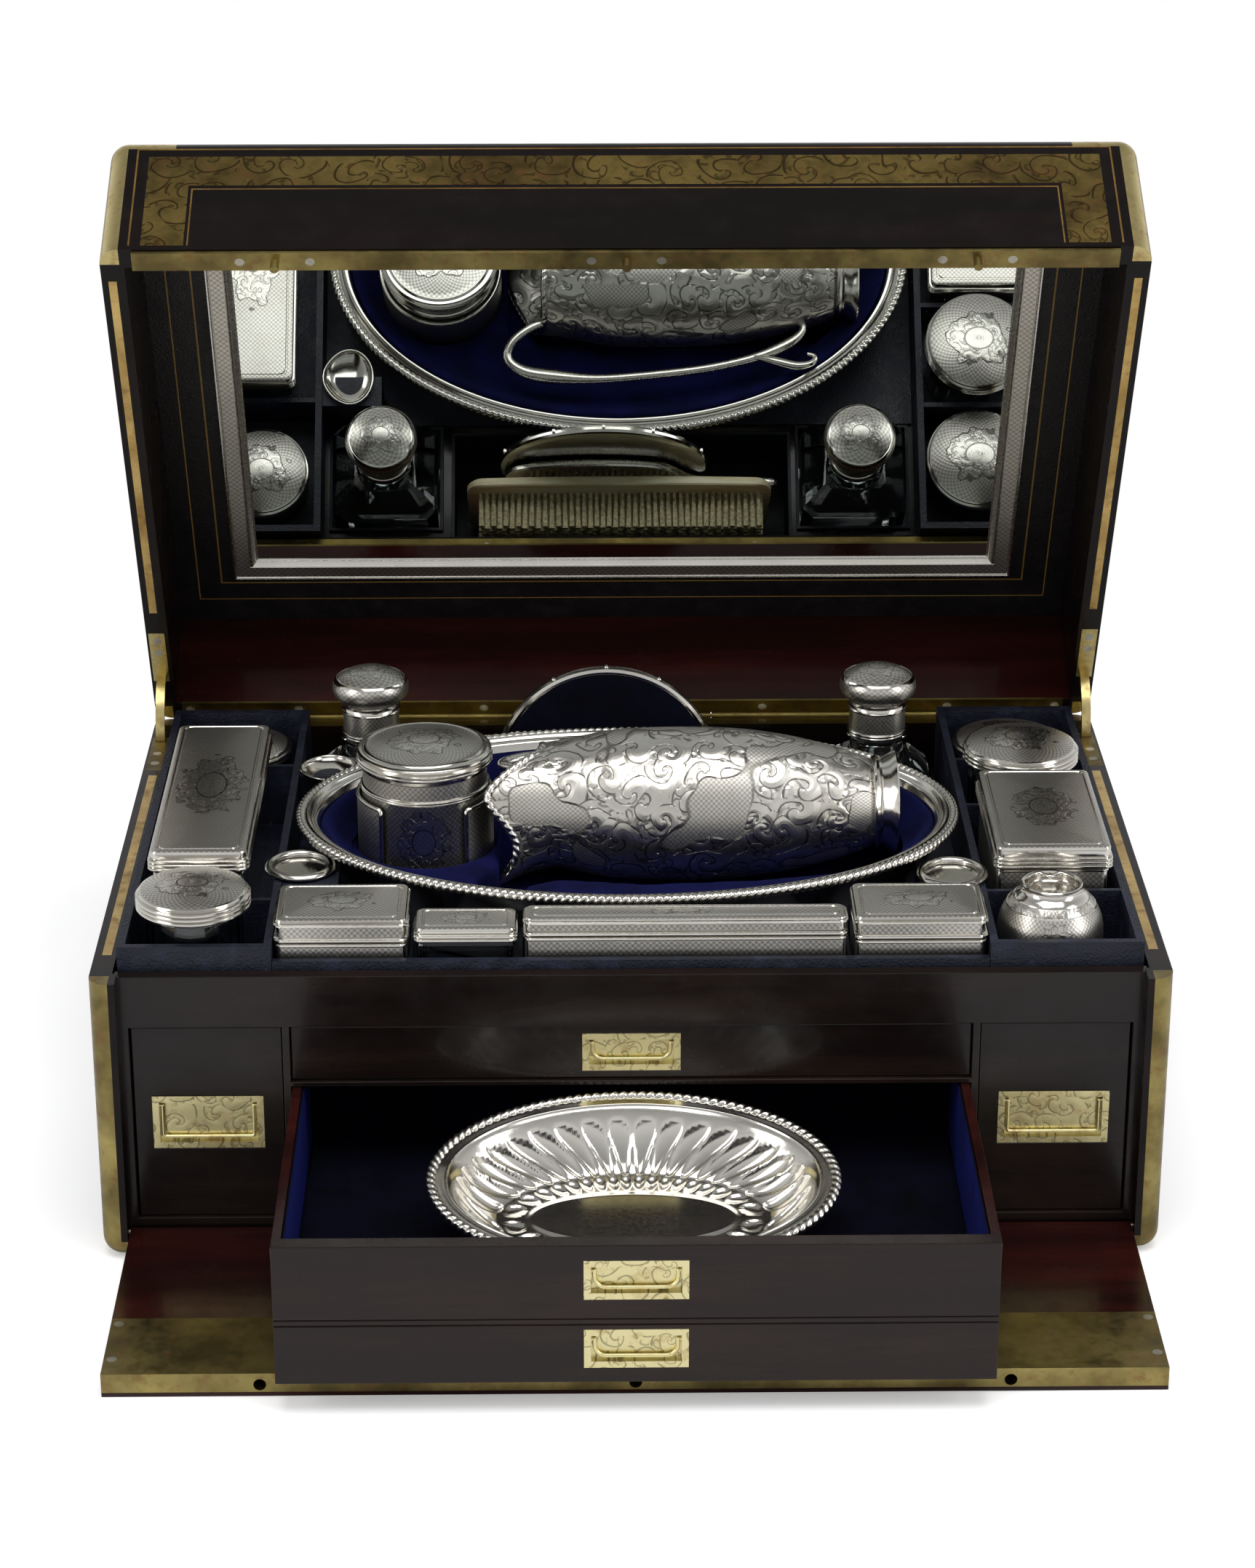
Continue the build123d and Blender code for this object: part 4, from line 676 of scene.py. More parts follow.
def box_cover(name, centre, half, low, top, body, node, reed_count, band, oval, crown, corner):
    """A crowned lid; band is the height of a turned band between its reeds, or 0."""
    edge = low + 0.2 + 2 * COVER_REED * reed_count
    steps = [(1.2, low)] + reeds(0.8, low + 0.2, COVER_REED, reed_count)
    paint_from, paint_to = edge + 0.3, edge + 0.3 + band
    if band:
        steps += [(1.2, edge + 0.3), (1.2, edge + band)]
        steps += reeds(0.8, edge + band + 0.2, COVER_REED, 1)
        edge += band + 0.2 + 2 * COVER_REED
    steps += [(1.0, edge), (0.9, top - 1.6), (1.3, top - 0.8), (2.2, top - 0.4),
              (3.6, top - 0.4), (4.0, top - 0.9), (4.6, top - 0.9), (5.0, top - 0.3)]
    steps += crowned(5.2, min(half) - 5.4, top - 0.4, crown, (0.25, 0.5, 0.75, 0.93))
    cover = raised(name, centre, half, steps, corner=corner)
    top_finish = silver(name + "_top", "XY", oval, (*centre, 0), rough=0.22, cell_mm=7.0)
    give(cover, body, "silver", [top_finish, silver_plain, side_front, side_end], node)
    paint_faces(cover, 1, lambda c, n: c.z < top - 1.1 or n.z < 0.9)
    if band:
        paint_faces(cover, 2, on_side(1, paint_from, paint_to))
        paint_faces(cover, 3, on_side(0, paint_from, paint_to))


def silver_box_body(name, centre, half, high, body, node):
    low = FLOOR_OF_THE_TRAYS
    steps = [(1.0, low), (0.2, low + 0.6), (0.0, low + 1.5), (0.0, high - 2.0)]
    steps += reeds(0.3, high - 2.0, 0.9, 1) + [(0.8, high)]
    case = raised(name, centre, half, steps, corner=3.0)
    give(case, body, "silver", [silver_plain, side_front, side_end], node)
    paint_faces(case, 1, lambda c, n: low + 2 < c.z < high - 2 and abs(n.y) > 0.8)
    paint_faces(case, 2, lambda c, n: low + 2 < c.z < high - 2 and abs(n.x) > 0.8)


side_front = silver("silver_turned_front", "XZ", rough=0.22, pitch_mm=1.9)
side_end = silver("silver_turned_end", "YZ", rough=0.22, pitch_mm=1.9)
# name, centre, cover's half size, low, top, reeds, band, oval, crown, corner, body's half
# size, how far its rim lies under the cover, and the corner of a body that is cut glass
box_table = (
    ("domed_box_left", (-129.4, -113.0), (30.0, 21.0), 146.0, 157.6, 1, 5.2, (15.0, 9.5), 1.2,
     3.5, (29.2, 20.2), 0.2, None),
    ("domed_box_right", (129.4, -114.0), (30.0, 20.0), 146.4, 157.7, 1, 5.0, (15.0, 9.0), 1.0,
     3.5, (29.2, 19.2), 0.2, None),
    ("glass_box", (-73.8, -121.5), (23.4, 12.5), 145.9, 153.2, 2, 0.0, (11.0, 6.5), 0.5,
     3.5, (22.0, 11.2), 0.3, 2.5),
    ("long_box", (24.3, -125.25), (72.5, 8.75), 148.6, 157.8, 1, 3.6, (15.0, 5.5), 0.5,
     3.5, (71.7, 7.95), 0.2, None),
    ("square_box", (194.25, -32.5), (27.2, 47.5), 156.2, 167.6, 3, 0.0, (15.0, 22.0), 0.6,
     3.2, (25.2, 45.4), 0.2, None),
    ("oblong_jar", (-196.2, -8.7), (23.0, 78.7), 160.4, 170.8, 3, 0.0, (16.0, 34.0), 0.4,
     4.0, (21.0, 76.7), 0.4, 4.0))
for (name, centre, half, low, top, count, band, oval, crown, corner, body_half, rim_gap,
     glass_corner) in box_table:
    lid_node = "oblong_jar_lid" if name == "oblong_jar" else name
    box_cover(name + "_cover", centre, half, low, top, lid_node + "_unit", lid_node, count,
              band, oval, crown, corner)
    if glass_corner:
        cut_glass_body(name + "_glass", centre, body_half, low - rim_gap, name + "_unit", name,
                       corner=glass_corner)
    else:
        silver_box_body(name + "_case", centre, body_half, low - rim_gap, name + "_unit", name)
print("boxes made")

# %% [markdown]
# ## Surfaces that follow a curve
# Some shapes are neither turned nor boxed: a rope border, a helmet jug, a fluted
# dish. They are made row by row: each row is a ring of points, and neighbouring rows
# are joined by four-sided faces. A row's place in millimetres is kept as a UV map, so
# that engraving can follow a bulging wall.

# %% Rows of points, tubes and ropes
STEPS_OF_A_TWIST = 6


def link_mesh(name, mesh):
    piece = bpy.data.objects.new(name, mesh)
    bpy.context.collection.objects.link(piece)
    return piece


def faces_to_piece(name, points, faces, angle=None):
    """A piece from points in millimetres; with an angle it is shaded smooth."""
    mesh = bpy.data.meshes.new(name)
    mesh.from_pydata([[c * MM for c in p] for p in points], [], faces)
    piece = link_mesh(name, mesh)
    face_outwards(piece, merge=False)
    if angle:
        bpy.ops.object.shade_smooth_by_angle(angle=math.radians(angle))
    return piece


def rows_to_piece(name, rows, uv_rows=None, loop=False, caps="", angle=40.0):
    """Joins rings of points; loop joins the last to the first; caps is last or both."""
    count = len(rows[0])
    last = (len(rows) - 1) * count
    faces = []
    for r in range(len(rows) if loop else len(rows) - 1):
        below, above = r * count, ((r + 1) % len(rows)) * count
        faces += [(below + u, below + (u + 1) % count, above + (u + 1) % count, above + u)
                  for u in range(count)]
    if caps == "both":
        faces.append(tuple(range(count))[::-1])
    if caps:
        faces.append(tuple(last + u for u in range(count)))
    piece = faces_to_piece(name, [p for row in rows for p in row], faces, angle)
    if uv_rows:
        layer = piece.data.uv_layers.new(name="surface")
        for face in piece.data.polygons:
            spots = [(i // count, i % count) for i in face.vertices]
            wraps = max(s[1] for s in spots) - min(s[1] for s in spots) > count / 2
            for corner, (r, u) in zip(face.loop_indices, spots):
                uv = uv_rows[r][u]
                if wraps and u < count / 2:
                    uv = (uv[0], uv[1] + uv_rows[r][-1][1] * count / (count - 1))
                layer.data[corner].uv = (uv[0] * MM, uv[1] * MM)
    return piece


def modify(piece, kind, **settings):
    """Adds a modifier with its settings and applies it."""
    start_piece(piece)
    modifier = piece.modifiers.new(kind.title(), kind)
    for key, value in settings.items():
        setattr(modifier, key, value)
    bpy.ops.object.modifier_apply(modifier=modifier.name)


def smooth_path(corners, steps=8, closed=False):
    """Points of a soft curve that passes through each corner (a Catmull-Rom curve)."""
    corners = [Vector(c) for c in corners]
    total = len(corners)
    path = []
    for i in range(total if closed else total - 1):
        near = range(i - 1, i + 3)
        a, b, c, d = (corners[k % total if closed else min(max(k, 0), total - 1)] for k in near)
        for step in range(steps):
            t = step / steps
            path.append(0.5 * (2 * b + (c - a) * t + (2 * a - 5 * b + 4 * c - d) * t * t
                               + (3 * b - a - 3 * c + d) * t ** 3))
    if not closed:
        path.append(corners[-1])
    return path


def tube_rows(path, radii, sides, closed=False, twist_every=0.0, depth=0.3):
    """Rings of points round a path; a twist gives them two lobes, as a rope has."""
    rows, run, across = [], 0.0, None
    for i, point in enumerate(path):
        before = path[i - 1] if i or closed else path[i]
        after = path[(i + 1) % len(path)] if i < len(path) - 1 or closed else path[i]
        along = (after - before).normalized()
        if abs(along.z) < 0.9 and (closed or across is None):
            across = along.cross(Vector((0, 0, 1)))
        elif across is None:
            across = along.orthogonal()
        across = (across - along * across.dot(along)).normalized()
        up = along.cross(across)
        radius = radii[i] if isinstance(radii, list) else radii
        if i:
            run += (point - path[i - 1]).length
        row = []
        for side in range(sides):
            angle = 2 * math.pi * side / sides
            swell = 1.0
            if twist_every:
                wave = abs(math.cos(angle + math.pi * run / twist_every))
                swell = 1.0 - depth + depth * wave ** 0.6
            row.append(point + (across * math.cos(angle) + up * math.sin(angle))
                       * radius * swell)
        rows.append(row)
    return rows


def rod(name, path, radii, sides):
    """A round rod along a path, closed at both ends."""
    return rows_to_piece(name, tube_rows(path, radii, sides), caps="both", angle=60.0)


def resample(path, count, closed=True):
    """The same path with points at even distances."""
    stops = path + [path[0]] if closed else path
    lengths = [0.0]
    for a, b in zip(stops, stops[1:]):
        lengths.append(lengths[-1] + (b - a).length)
    even, k = [], 0
    for i in range(count):
        target = lengths[-1] * i / (count if closed else count - 1)
        while k < len(lengths) - 2 and lengths[k + 1] < target:
            k += 1
        span = max(lengths[k + 1] - lengths[k], 1e-9)
        even.append(stops[k].lerp(stops[k + 1], min((target - lengths[k]) / span, 1.0)))
    return even, lengths[-1]


def rope_border(name, path, radius, pitch, sides=14, depth=0.5):
    """A closed rope whose twists are pitch apart; radius is a size or gives one for a place."""
    length = resample(path, 2)[1]
    twists = 2 * round(length / pitch / 2)
    even = resample(path, twists * STEPS_OF_A_TWIST)[0]
    sizes = [radius(p) for p in even] if callable(radius) else radius
    rows = tube_rows(even, sizes, sides, True, length / twists, depth)
    rope = rows_to_piece(name, rows, loop=True, angle=60.0)
    # the faces at the bottom of the twists are marked for the second material
    for number, face in enumerate(rope.data.polygons):
        ring, side = divmod(number, sides)
        turn = (side + 0.5) / sides + (ring + 0.5) / (2 * STEPS_OF_A_TWIST)
        if abs(math.cos(2 * math.pi * turn)) < 0.34:
            face.material_index = 1
    return rope


def ellipse_path(centre, a, b, z, count=240):
    return [Vector((centre[0] + a * math.cos(2 * math.pi * i / count),
                    centre[1] + b * math.sin(2 * math.pi * i / count), z))
            for i in range(count)]


# %% [markdown]
# ### The basin and its velvet bed
# The wash basin is a plain oval of thin silver with a rope border. A block of wood
# covered in velvet lies in it and holds the jug and the mug. Velvet has no sharp
# edges, so the block is remeshed and relaxed, which rounds every arris by about two
# millimetres.

# %% Basin
BASIN_Y, BASIN_HALF = -9.0, (157.0, 104.5)
basin_steps = [(19.5, 114.1), (18.8, 114.6), (14.0, 134.2), (9.0, 154.3), (4.0, 154.8),
               (1.2, 154.9), (0.9, 156.0), (3.4, 156.9), (4.6, 157.6), (5.6, 157.8),
               (6.6, 157.4), (7.4, 156.3), (8.4, 155.7), (9.8, 155.6), (10.6, 154.8),
               (15.4, 134.6), (20.0, 116.0), (21.0, 115.6)]
basin_bowl = raised("basin_bowl", (0, BASIN_Y), BASIN_HALF, basin_steps, segments=160)
give(basin_bowl, "basin_unit", "silver", silver_plain, "basin")
basin_rope = rope_border("basin_rope", ellipse_path((0, BASIN_Y), 154.4, 101.9, 156.1), 2.6,
                         3.7)
give(basin_rope, "basin_unit", "silver", [silver_rope, silver_groove], "basin")
print("basin rope", len(basin_rope.data.polygons), "faces")

# %% Velvet bed
def pad(piece, node, finish, *nodes):
    """Hands over a velvet-covered block: its finish, its body and the frame pieces it stands
    for.
    """
    give(piece, body_of_node[node], "velvet", finish, *nodes)


def soft_copy(node, name, voxel_mm, rounds):
    """A velvet-covered block: the frame piece's shape with every edge relaxed."""
    piece = link_mesh(name, frame["nodes"][node].data.copy())
    face_outwards(piece)
    modify(piece, "REMESH", mode="VOXEL", voxel_size=voxel_mm * MM)
    modify(piece, "SMOOTH", iterations=rounds, factor=0.5)
    bpy.ops.object.shade_smooth()
    piece.data.name = name
    return piece


def velvet_ring(name, steps):
    """A closed padded ring round the bed, from steps of inset and height."""
    ring = raised(name, (0, BASIN_Y), BASIN_HALF, steps, segments=160, angle=80.0,
                  hollow=True)
    pad(ring, "velvet_insert", velvet_blue)


body_of_node = {node: body for body, nodes in
                frame["record"]["behaviour"]["bodies"].items() for node in nodes}
insert = soft_copy("velvet_insert", "velvet_bed", 1.8, 6)
pad(insert, "velvet_insert", velvet_blue, "velvet_insert")

# the velvet also comes up the basin's wall, almost to the rope
velvet_ring("velvet_rim", [
    (15.2, 139.4), (13.1, 146.0), (12.2, 151.6), (13.0, 152.6), (14.8, 152.2), (16.6, 150.0),
    (18.6, 146.6), (22.0, 142.6), (26.0, 139.4)])
# and a band inside its outer wall closes the thin end of the jug's hollow
velvet_ring("velvet_band", [
    (22.4, 116.2), (20.6, 121.0), (18.4, 127.0), (17.2, 133.0), (17.0, 136.4), (18.6, 136.4),
    (19.4, 127.0), (22.0, 121.0), (25.0, 116.6)])
# the cradle's raised oval stops under the dish's lobes, and slopes as the dish does
DISH_Y, DISH_TILT = -211.0, math.radians(9.0)
cradle = soft_copy("dish_cradle", "velvet_cradle", 2.0, 5)
for vertex in cradle.data.vertices:
    under_dish = 42.2 + (vertex.co.y / MM - DISH_Y) * math.tan(DISH_TILT)
    vertex.co.z = min(vertex.co.z, max(38.6, under_dish) * MM)
# the cradle under the dish takes the darker copy of the velvet: painted shade
pad(cradle, "dish_cradle", velvet_painted_shade, "dish_cradle")
print("velvet bed", len(insert.data.polygons), "faces")

# %% [markdown]
# ### The mug, its lid and its sleeve
# The mug stands in a silver sleeve that is cut away at the front, with a rolled edge.
# Round walls carry engine turning that goes round them, so the pattern is read from
# the angle about the mug's axis, not from flat coordinates.

# %% Mug
MUG = (-96.0, 2.0)
mug_steps = [(1.6, 118.2), (0.4, 118.6), (0.0, 119.8), (0.0, 166.4)]
mug_steps += reeds(-0.1, 166.6, 0.55, 2) + [(0.5, 169.2), (0.5, 176.6), (0.0, 177.2)]
mug_steps += [(0.0, 178.6), (0.6, 179.0), (1.6, 179.0), (1.8, 122.0), (4.0, 120.0)]
mug_body = raised("mug_body", MUG, (30.0, 30.0), mug_steps, segments=120)
mug_turned = silver("silver_turned_mug", "WALL", cartouche=(12.5, 15.0),
                    centre=(*MUG, 148.5), turn=(0, 0, math.radians(-90)), rough=0.24,
                    pitch_mm=1.9, cell_mm=6.0)
mug_wall_plain = silver("silver_turned_round_mug", "WALL", centre=(*MUG, 0), rough=0.24,
                        pitch_mm=1.9)
give(mug_body, "mug_unit", "silver", [mug_turned, silver_plain], "mug")
paint_faces(mug_body, 1, lambda c, n: 166.6 < c.z < 169.1 or c.z > 176.6 or c.z < 119
            or (Vector((c.x - MUG[0], c.y - MUG[1])).length < 29.3))

cap_steps = [(1.2, 179.3)] + reeds(0.9, 179.4, 0.85, 2)
cap_steps += [(1.2, 183.0), (0.9, 183.6), (0.4, 184.2), (0.5, 185.0), (1.3, 185.6),
              (2.6, 185.9), (3.6, 185.9), (4.0, 186.3), (4.6, 186.6), (5.2, 186.4)]
cap_steps += crowned(5.2, 27.0, 186.4, 3.4, (0.1, 0.25, 0.4, 0.55, 0.7, 0.85, 0.97))
mug_cap = raised("mug_cap", MUG, (32.3, 32.3), cap_steps, segments=120)
cap_finish = silver("silver_turned_cap", "TOP", cartouche=(17.0, 15.0), centre=(*MUG, 0),
                    radius_mm=20.0, rough=0.2, cell_mm=6.5, pitch_mm=1.6)
give(mug_cap, "mug_lid_unit", "silver", [cap_finish, silver_plain], "mug_lid")
paint_faces(mug_cap, 1, lambda c, n: c.z < 186.5)

# the sleeve keeps its frame shape and gains a rolled edge round its cut-away front
dress("mug_sleeve", mug_wall_plain)
sleeve_r, sleeve_top, sleeve_low, half_width = 31.9, 163.0, 130.4, 20.0
half_gap = math.asin(half_width / sleeve_r)
front_y = MUG[1] - sleeve_r * math.cos(half_gap)
edge = [Vector((MUG[0] - half_width, front_y, z)) for z in (sleeve_low, sleeve_top - 1.5)]
turns = [half_gap + (2 * math.pi - 2 * half_gap) * i / 48 for i in range(49)]
edge += [Vector((MUG[0] - sleeve_r * math.sin(a), MUG[1] - sleeve_r * math.cos(a), sleeve_top))
         for a in turns]
edge += [Vector((MUG[0] + half_width, front_y, z)) for z in (sleeve_top - 1.5, sleeve_low)]
edge, _ = resample(edge, 120, closed=False)
give(rod("sleeve_rolled_edge", edge, 1.05, 8), body_of_node["mug_sleeve"], "silver",
     silver_plain)
print("mug made")

# %% [markdown]
# ### The helmet jug
# A helmet jug is raised from sheet, then its mouth is cut to a wave and drawn out
# into a spout. It lies on its side here, with its mouth to the left. Its wall is a
# row of rings; the first ring is the wavy mouth, and the next ones lead into the
# round body. The walls are chased with scrolls on an engine-turned ground.

# %% Jug body
JUG = (5.0, 154.2)          # the y and z of the jug's long axis
# angle seen from the front (0) round the top (90), then mouth x and mouth radius
mouth_shape = [(90, -40, 28.5), (60, -41, 28.5), (45, -46, 29.5), (19, -60, 30.0),
               (4, -65.5, 30.2), (-8, -63.5, 30.2), (-21, -57.6, 30.4), (-40, -52.4, 32.0),
               (-54, -53.5, 37.0), (-62, -57.5, 41.5), (-70, -62.0, 43.0), (-82, -63.5, 41.0),
               (-105, -60.0, 35.5), (-140, -52.0, 31.0), (-180, -45.0, 29.0),
               (-225, -40.0, 28.5)]
jug_section = [(-33, 30.5), (-20, 33.0), (-6, 35.5), (10, 36.3), (28, 36.6), (45, 36.2),
               (60, 35.0), (78, 32.2), (92, 28.8), (106, 25.0), (116.4, 21.0)]
VIEW_TILT = math.radians(27.0)


def round_the_jug(x, angle_degrees, radius):
    angle = math.radians(angle_degrees)
    front, high = math.cos(angle) * radius, math.sin(angle) * radius
    return Vector((x, JUG[0] - front * math.cos(VIEW_TILT) + high * math.sin(VIEW_TILT),
                   JUG[1] + front * math.sin(VIEW_TILT) + high * math.cos(VIEW_TILT)))


mouth_curve = smooth_path([(mouth_shape[-2][0] + 360, *mouth_shape[-2][1:])] + mouth_shape
                          + [(60 - 360, *mouth_shape[1][1:])], 10)


def mouth_at(angle):
    """Mouth x and radius at an angle, read off a soft curve through the listed ones."""
    angle = (angle - 90) % 360 + 90 - 360
    if angle < -270 + 1e-6:
        angle += 360
    for before, after in zip(mouth_curve, mouth_curve[1:]):
        if after.x <= angle <= before.x and before.x > after.x:
            t = (before.x - angle) / (before.x - after.x)
            return before.y + (after.y - before.y) * t, before.z + (after.z - before.z) * t
    return mouth_shape[0][1], mouth_shape[0][2]


JUG_STEPS, JUG_GIRTH, MOUTH_STEPS = 144, 220.0, 9
angles = [90 - 360.0 * i / JUG_STEPS for i in range(JUG_STEPS)]
neck_x, neck_r = jug_section[0]
jug_rows, jug_uvs = [], []
for step in range(MOUTH_STEPS):
    share = step / MOUTH_STEPS
    row, uvs = [], []
    for i, angle in enumerate(angles):
        mouth_x, mouth_r = mouth_at(angle)
        x = mouth_x + (neck_x - mouth_x) * share
        row.append(round_the_jug(x, angle, neck_r + (mouth_r - neck_r) * (1 - share) ** 1.8))
        uvs.append((x, JUG_GIRTH * i / JUG_STEPS))
    jug_rows.append(row)
    jug_uvs.append(uvs)
for spot in smooth_path([(x, r, 0) for x, r in jug_section], 4):
    jug_rows.append([round_the_jug(spot.x, a, spot.y) for a in angles])
    jug_uvs.append([(spot.x, JUG_GIRTH * i / JUG_STEPS) for i in range(JUG_STEPS)])
jug_wall = rows_to_piece("jug_wall", jug_rows, jug_uvs, angle=60.0)
modify(jug_wall, "SOLIDIFY", thickness=1.3 * MM, offset=-1.0)
jug_chased = silver("silver_chased_jug", use_uv=True, scrolls=40.0, rough=0.3,
                    cell_mm=15.0, relief_mm=0.5, patch_at=0.415)
give(jug_wall, "jug_unit", "silver", jug_chased, "jug")
print("jug wall", len(jug_wall.data.polygons), "faces")

# %% Jug mouth, foot and handle
mouth_spots = [(90 - 2.0 * i, *mouth_at(90 - 2.0 * i)) for i in range(180)]
mouth_path = [round_the_jug(x - 0.2, angle, radius - 0.4) for angle, x, radius in mouth_spots]


def jug_rope_size(place):
    """Thick round the mouth's top and thin under its spout."""
    return max(2.0 - max(0.0, JUG[1] - 12 - place.z) * 0.12, 0.95)


jug_rope = rope_border("jug_rope", mouth_path, jug_rope_size, 3.9, sides=12, depth=0.34)
give(jug_rope, "jug_unit", "silver", [silver_rope, silver_groove], "jug")
foot_profile = [(14.0, 116.2), (20.9, 116.2), (22.3, 117.0), (23.0, 118.2), (22.4, 119.4),
                (21.2, 120.0), (21.0, 120.8), (21.6, 122.0), (23.2, 124.4), (24.4, 126.4),
                (24.9, 127.6), (24.3, 128.4), (23.0, 128.2), (21.4, 125.5), (19.6, 121.8),
                (14.0, 120.8), (3.0, 120.6)]
foot_rows = [[round_the_jug(x, 90 - 4.0 * i, r) for i in range(90)] for r, x in foot_profile]
give(rows_to_piece("jug_foot", foot_rows, caps="both", angle=35.0), "jug_unit", "silver",
     silver_plain, "jug")

loop_corners = [(-36, 31, 158), (-46, 34, 159), (-57, 42, 158), (-60, 51, 156), (-52, 58, 155),
                (-38, 61, 154.6), (-12, 62.5, 154.4), (20, 60, 154.2), (50, 56, 154.2),
                (76, 49.5, 154.2), (92, 42, 154.2), (99, 35, 154.4), (97, 29.5, 154.6),
                (90, 30, 155.0)]
loop_path, _ = resample(smooth_path(loop_corners, 8), 96, closed=False)
loop_sizes = [2.4 + 1.7 * math.exp(-((i / 95 - 0.27) / 0.09) ** 2)
              + 0.8 * math.exp(-((i / 95 - 0.86) / 0.06) ** 2) - 0.9 * max(0, i / 95 - 0.9) * 10
              for i in range(96)]
give(rod("jug_handle", loop_path, loop_sizes, 14), "jug_unit", "silver", silver_soft, "jug")
curl_corners = [(72, 50.5, 155.5), (84, 54, 157.5), (95, 57, 158.5), (103, 55.5, 158.6),
                (105, 51.5, 158.0), (101, 50.0, 157.6)]
curl_path, _ = resample(smooth_path(curl_corners, 8), 40, closed=False)
curl_sizes = [1.2 + 1.3 * math.sin(math.pi * min(1, i / 36)) for i in range(40)]
give(rod("jug_handle_leaf", curl_path, curl_sizes, 10), "jug_unit", "silver", silver_plain,
     "jug")
print("jug finished")

# %% [markdown]
# ### Bottles, pot and rings
# The scent bottles are thick square blocks of glass with a round neck. Their stoppers
# are covered by silver caps shaped like a mushroom. A cap is turned, so its section is
# one list of radii and heights.

# %% Turned pieces
def turned_piece(name, centre, section, segments=72, angle=32.0):
    """Raises a round piece from a section of (radius, height) pairs."""
    widest = max(r for r, z in section)
    return raised(name, centre, (widest, widest), [(widest - r, z) for r, z in section],
                  segments=segments, angle=angle)


def beads(radius, z, size, count):
    """Half-round beads up a wall, as (radius, height) pairs."""
    return [(radius - inset, height) for inset, height in reeds(0, z, size, count)]


# %% Scent bottles
cap_section = [(11.5, 150.3), (14.2, 150.4)] + beads(14.2, 150.6, 0.7, 2)
cap_section += [(14.0, 153.6), (13.9, 163.6), (14.2, 163.9)] + beads(14.2, 164.0, 0.55, 1)
cap_section += [(14.0, 165.4), (13.7, 166.6), (14.4, 168.6), (16.6, 170.6), (18.4, 172.8),
                (19.0, 175.2), (18.9, 177.4), (18.3, 179.4), (17.6, 180.4), (17.0, 181.0),
                (16.6, 180.9), (16.0, 181.2), (13.4, 182.9), (10.0, 184.4), (6.5, 185.4),
                (3.0, 185.9), (0.2, 186.0)]
neck_section = [(15.6, 139.0), (14.6, 141.0), (13.4, 143.0), (13.2, 147.5), (15.0, 148.6),
                (15.0, 149.9), (12.6, 150.1)]
for bottle, x, y in (("left_bottle", -126.5, 105.0), ("right_bottle", 126.5, 105.0)):
    glass = raised(bottle + "_glass", (x, y), (28.0, 27.0),
                   [(2.0, 62.0), (0.4, 63.6), (0.0, 65.0), (0.0, 127.0), (1.6, 129.6),
                    (9.5, 137.6), (12.0, 139.4)], corner=5.0, corner_steps=1, angle=10.0)
    neck = turned_piece(bottle + "_neck", (x, y), neck_section, segments=48)
    for part in (glass, neck):
        give(part, bottle + "_unit", "glass", flint_glass, bottle)
    cap = turned_piece(bottle + "_cap", (x, y), cap_section, segments=84)
    side = silver(bottle + "_cap_side", "WALL", centre=(x, y, 0), rough=0.22,
                  radius_mm=15.0)
    top = silver(bottle + "_cap_top", "TOP", cartouche=(10.5, 9.5), centre=(x, y, 0),
                 rough=0.22, radius_mm=9.0, cell_mm=5.5)
    give(cap, bottle + "_unit", "silver", [silver_plain, side, top], bottle)
    paint_faces(cap, 1, lambda c, n: 153.7 < c.z < 163.5 or 168.5 < c.z < 179.4)
    paint_faces(cap, 2, lambda c, n: c.z > 181.1)
print("bottles made")

# %% Pot, rings and scoop
POT = (190.0, -108.0)
pot_section = [(16.0, 117.2), (19.5, 118.6), (22.2, 124.0), (23.6, 132.0), (24.0, 139.0),
               (23.8, 143.0), (23.0, 147.0), (21.6, 150.4), (20.4, 152.4), (20.2, 153.2),
               (19.8, 153.2), (18.6, 154.9), (17.3, 156.3), (16.9, 156.3), (16.5, 157.0),
               (15.2, 158.2), (14.2, 159.0), (13.4, 160.2), (13.3, 161.2), (13.7, 161.9),
               (13.8, 162.5), (13.3, 163.0), (12.4, 162.8), (11.9, 161.8), (11.8, 158.5),
               (11.0, 158.0)]
pot_piece = turned_piece("travelling_pot", POT, pot_section, segments=96)
pot_band = silver("silver_chased_pot_band", "TOP", scrolls=9.0, centre=(*POT, 0),
                  radius_mm=20.0, rough=0.2, cell_mm=4.5, pitch_mm=1.3)
pot_body = silver("silver_turned_pot", "WALL", cartouche=(8.0, 7.0), centre=(*POT, 144.0),
                  turn=(0, 0, math.radians(-90)), radius_mm=24.0, rough=0.22, cell_mm=5.0,
                  pitch_mm=1.6)
give(pot_piece, "pot_unit", "silver", [silver_plain, pot_band, pot_body], "pot")
paint_faces(pot_piece, 1, lambda c, n: 153.3 < c.z < 156.2 and n.z > 0.2)
paint_faces(pot_piece, 2, lambda c, n: 122.0 < c.z < 152.0)
notch_path = []
for i in range(25):
    angle = math.radians(25 + 130.0 * i / 24)
    dip = math.exp(-((i - 12) / 2.6) ** 2)
    notch_path.append(Vector((POT[0] + 11.9 * math.cos(angle),
                              POT[1] + (11.9 - 5.4 * dip) * math.sin(angle), 162.4)))
give(rod("pot_thread_lip", notch_path, 0.9, 8), "pot_unit", "silver", silver_plain)

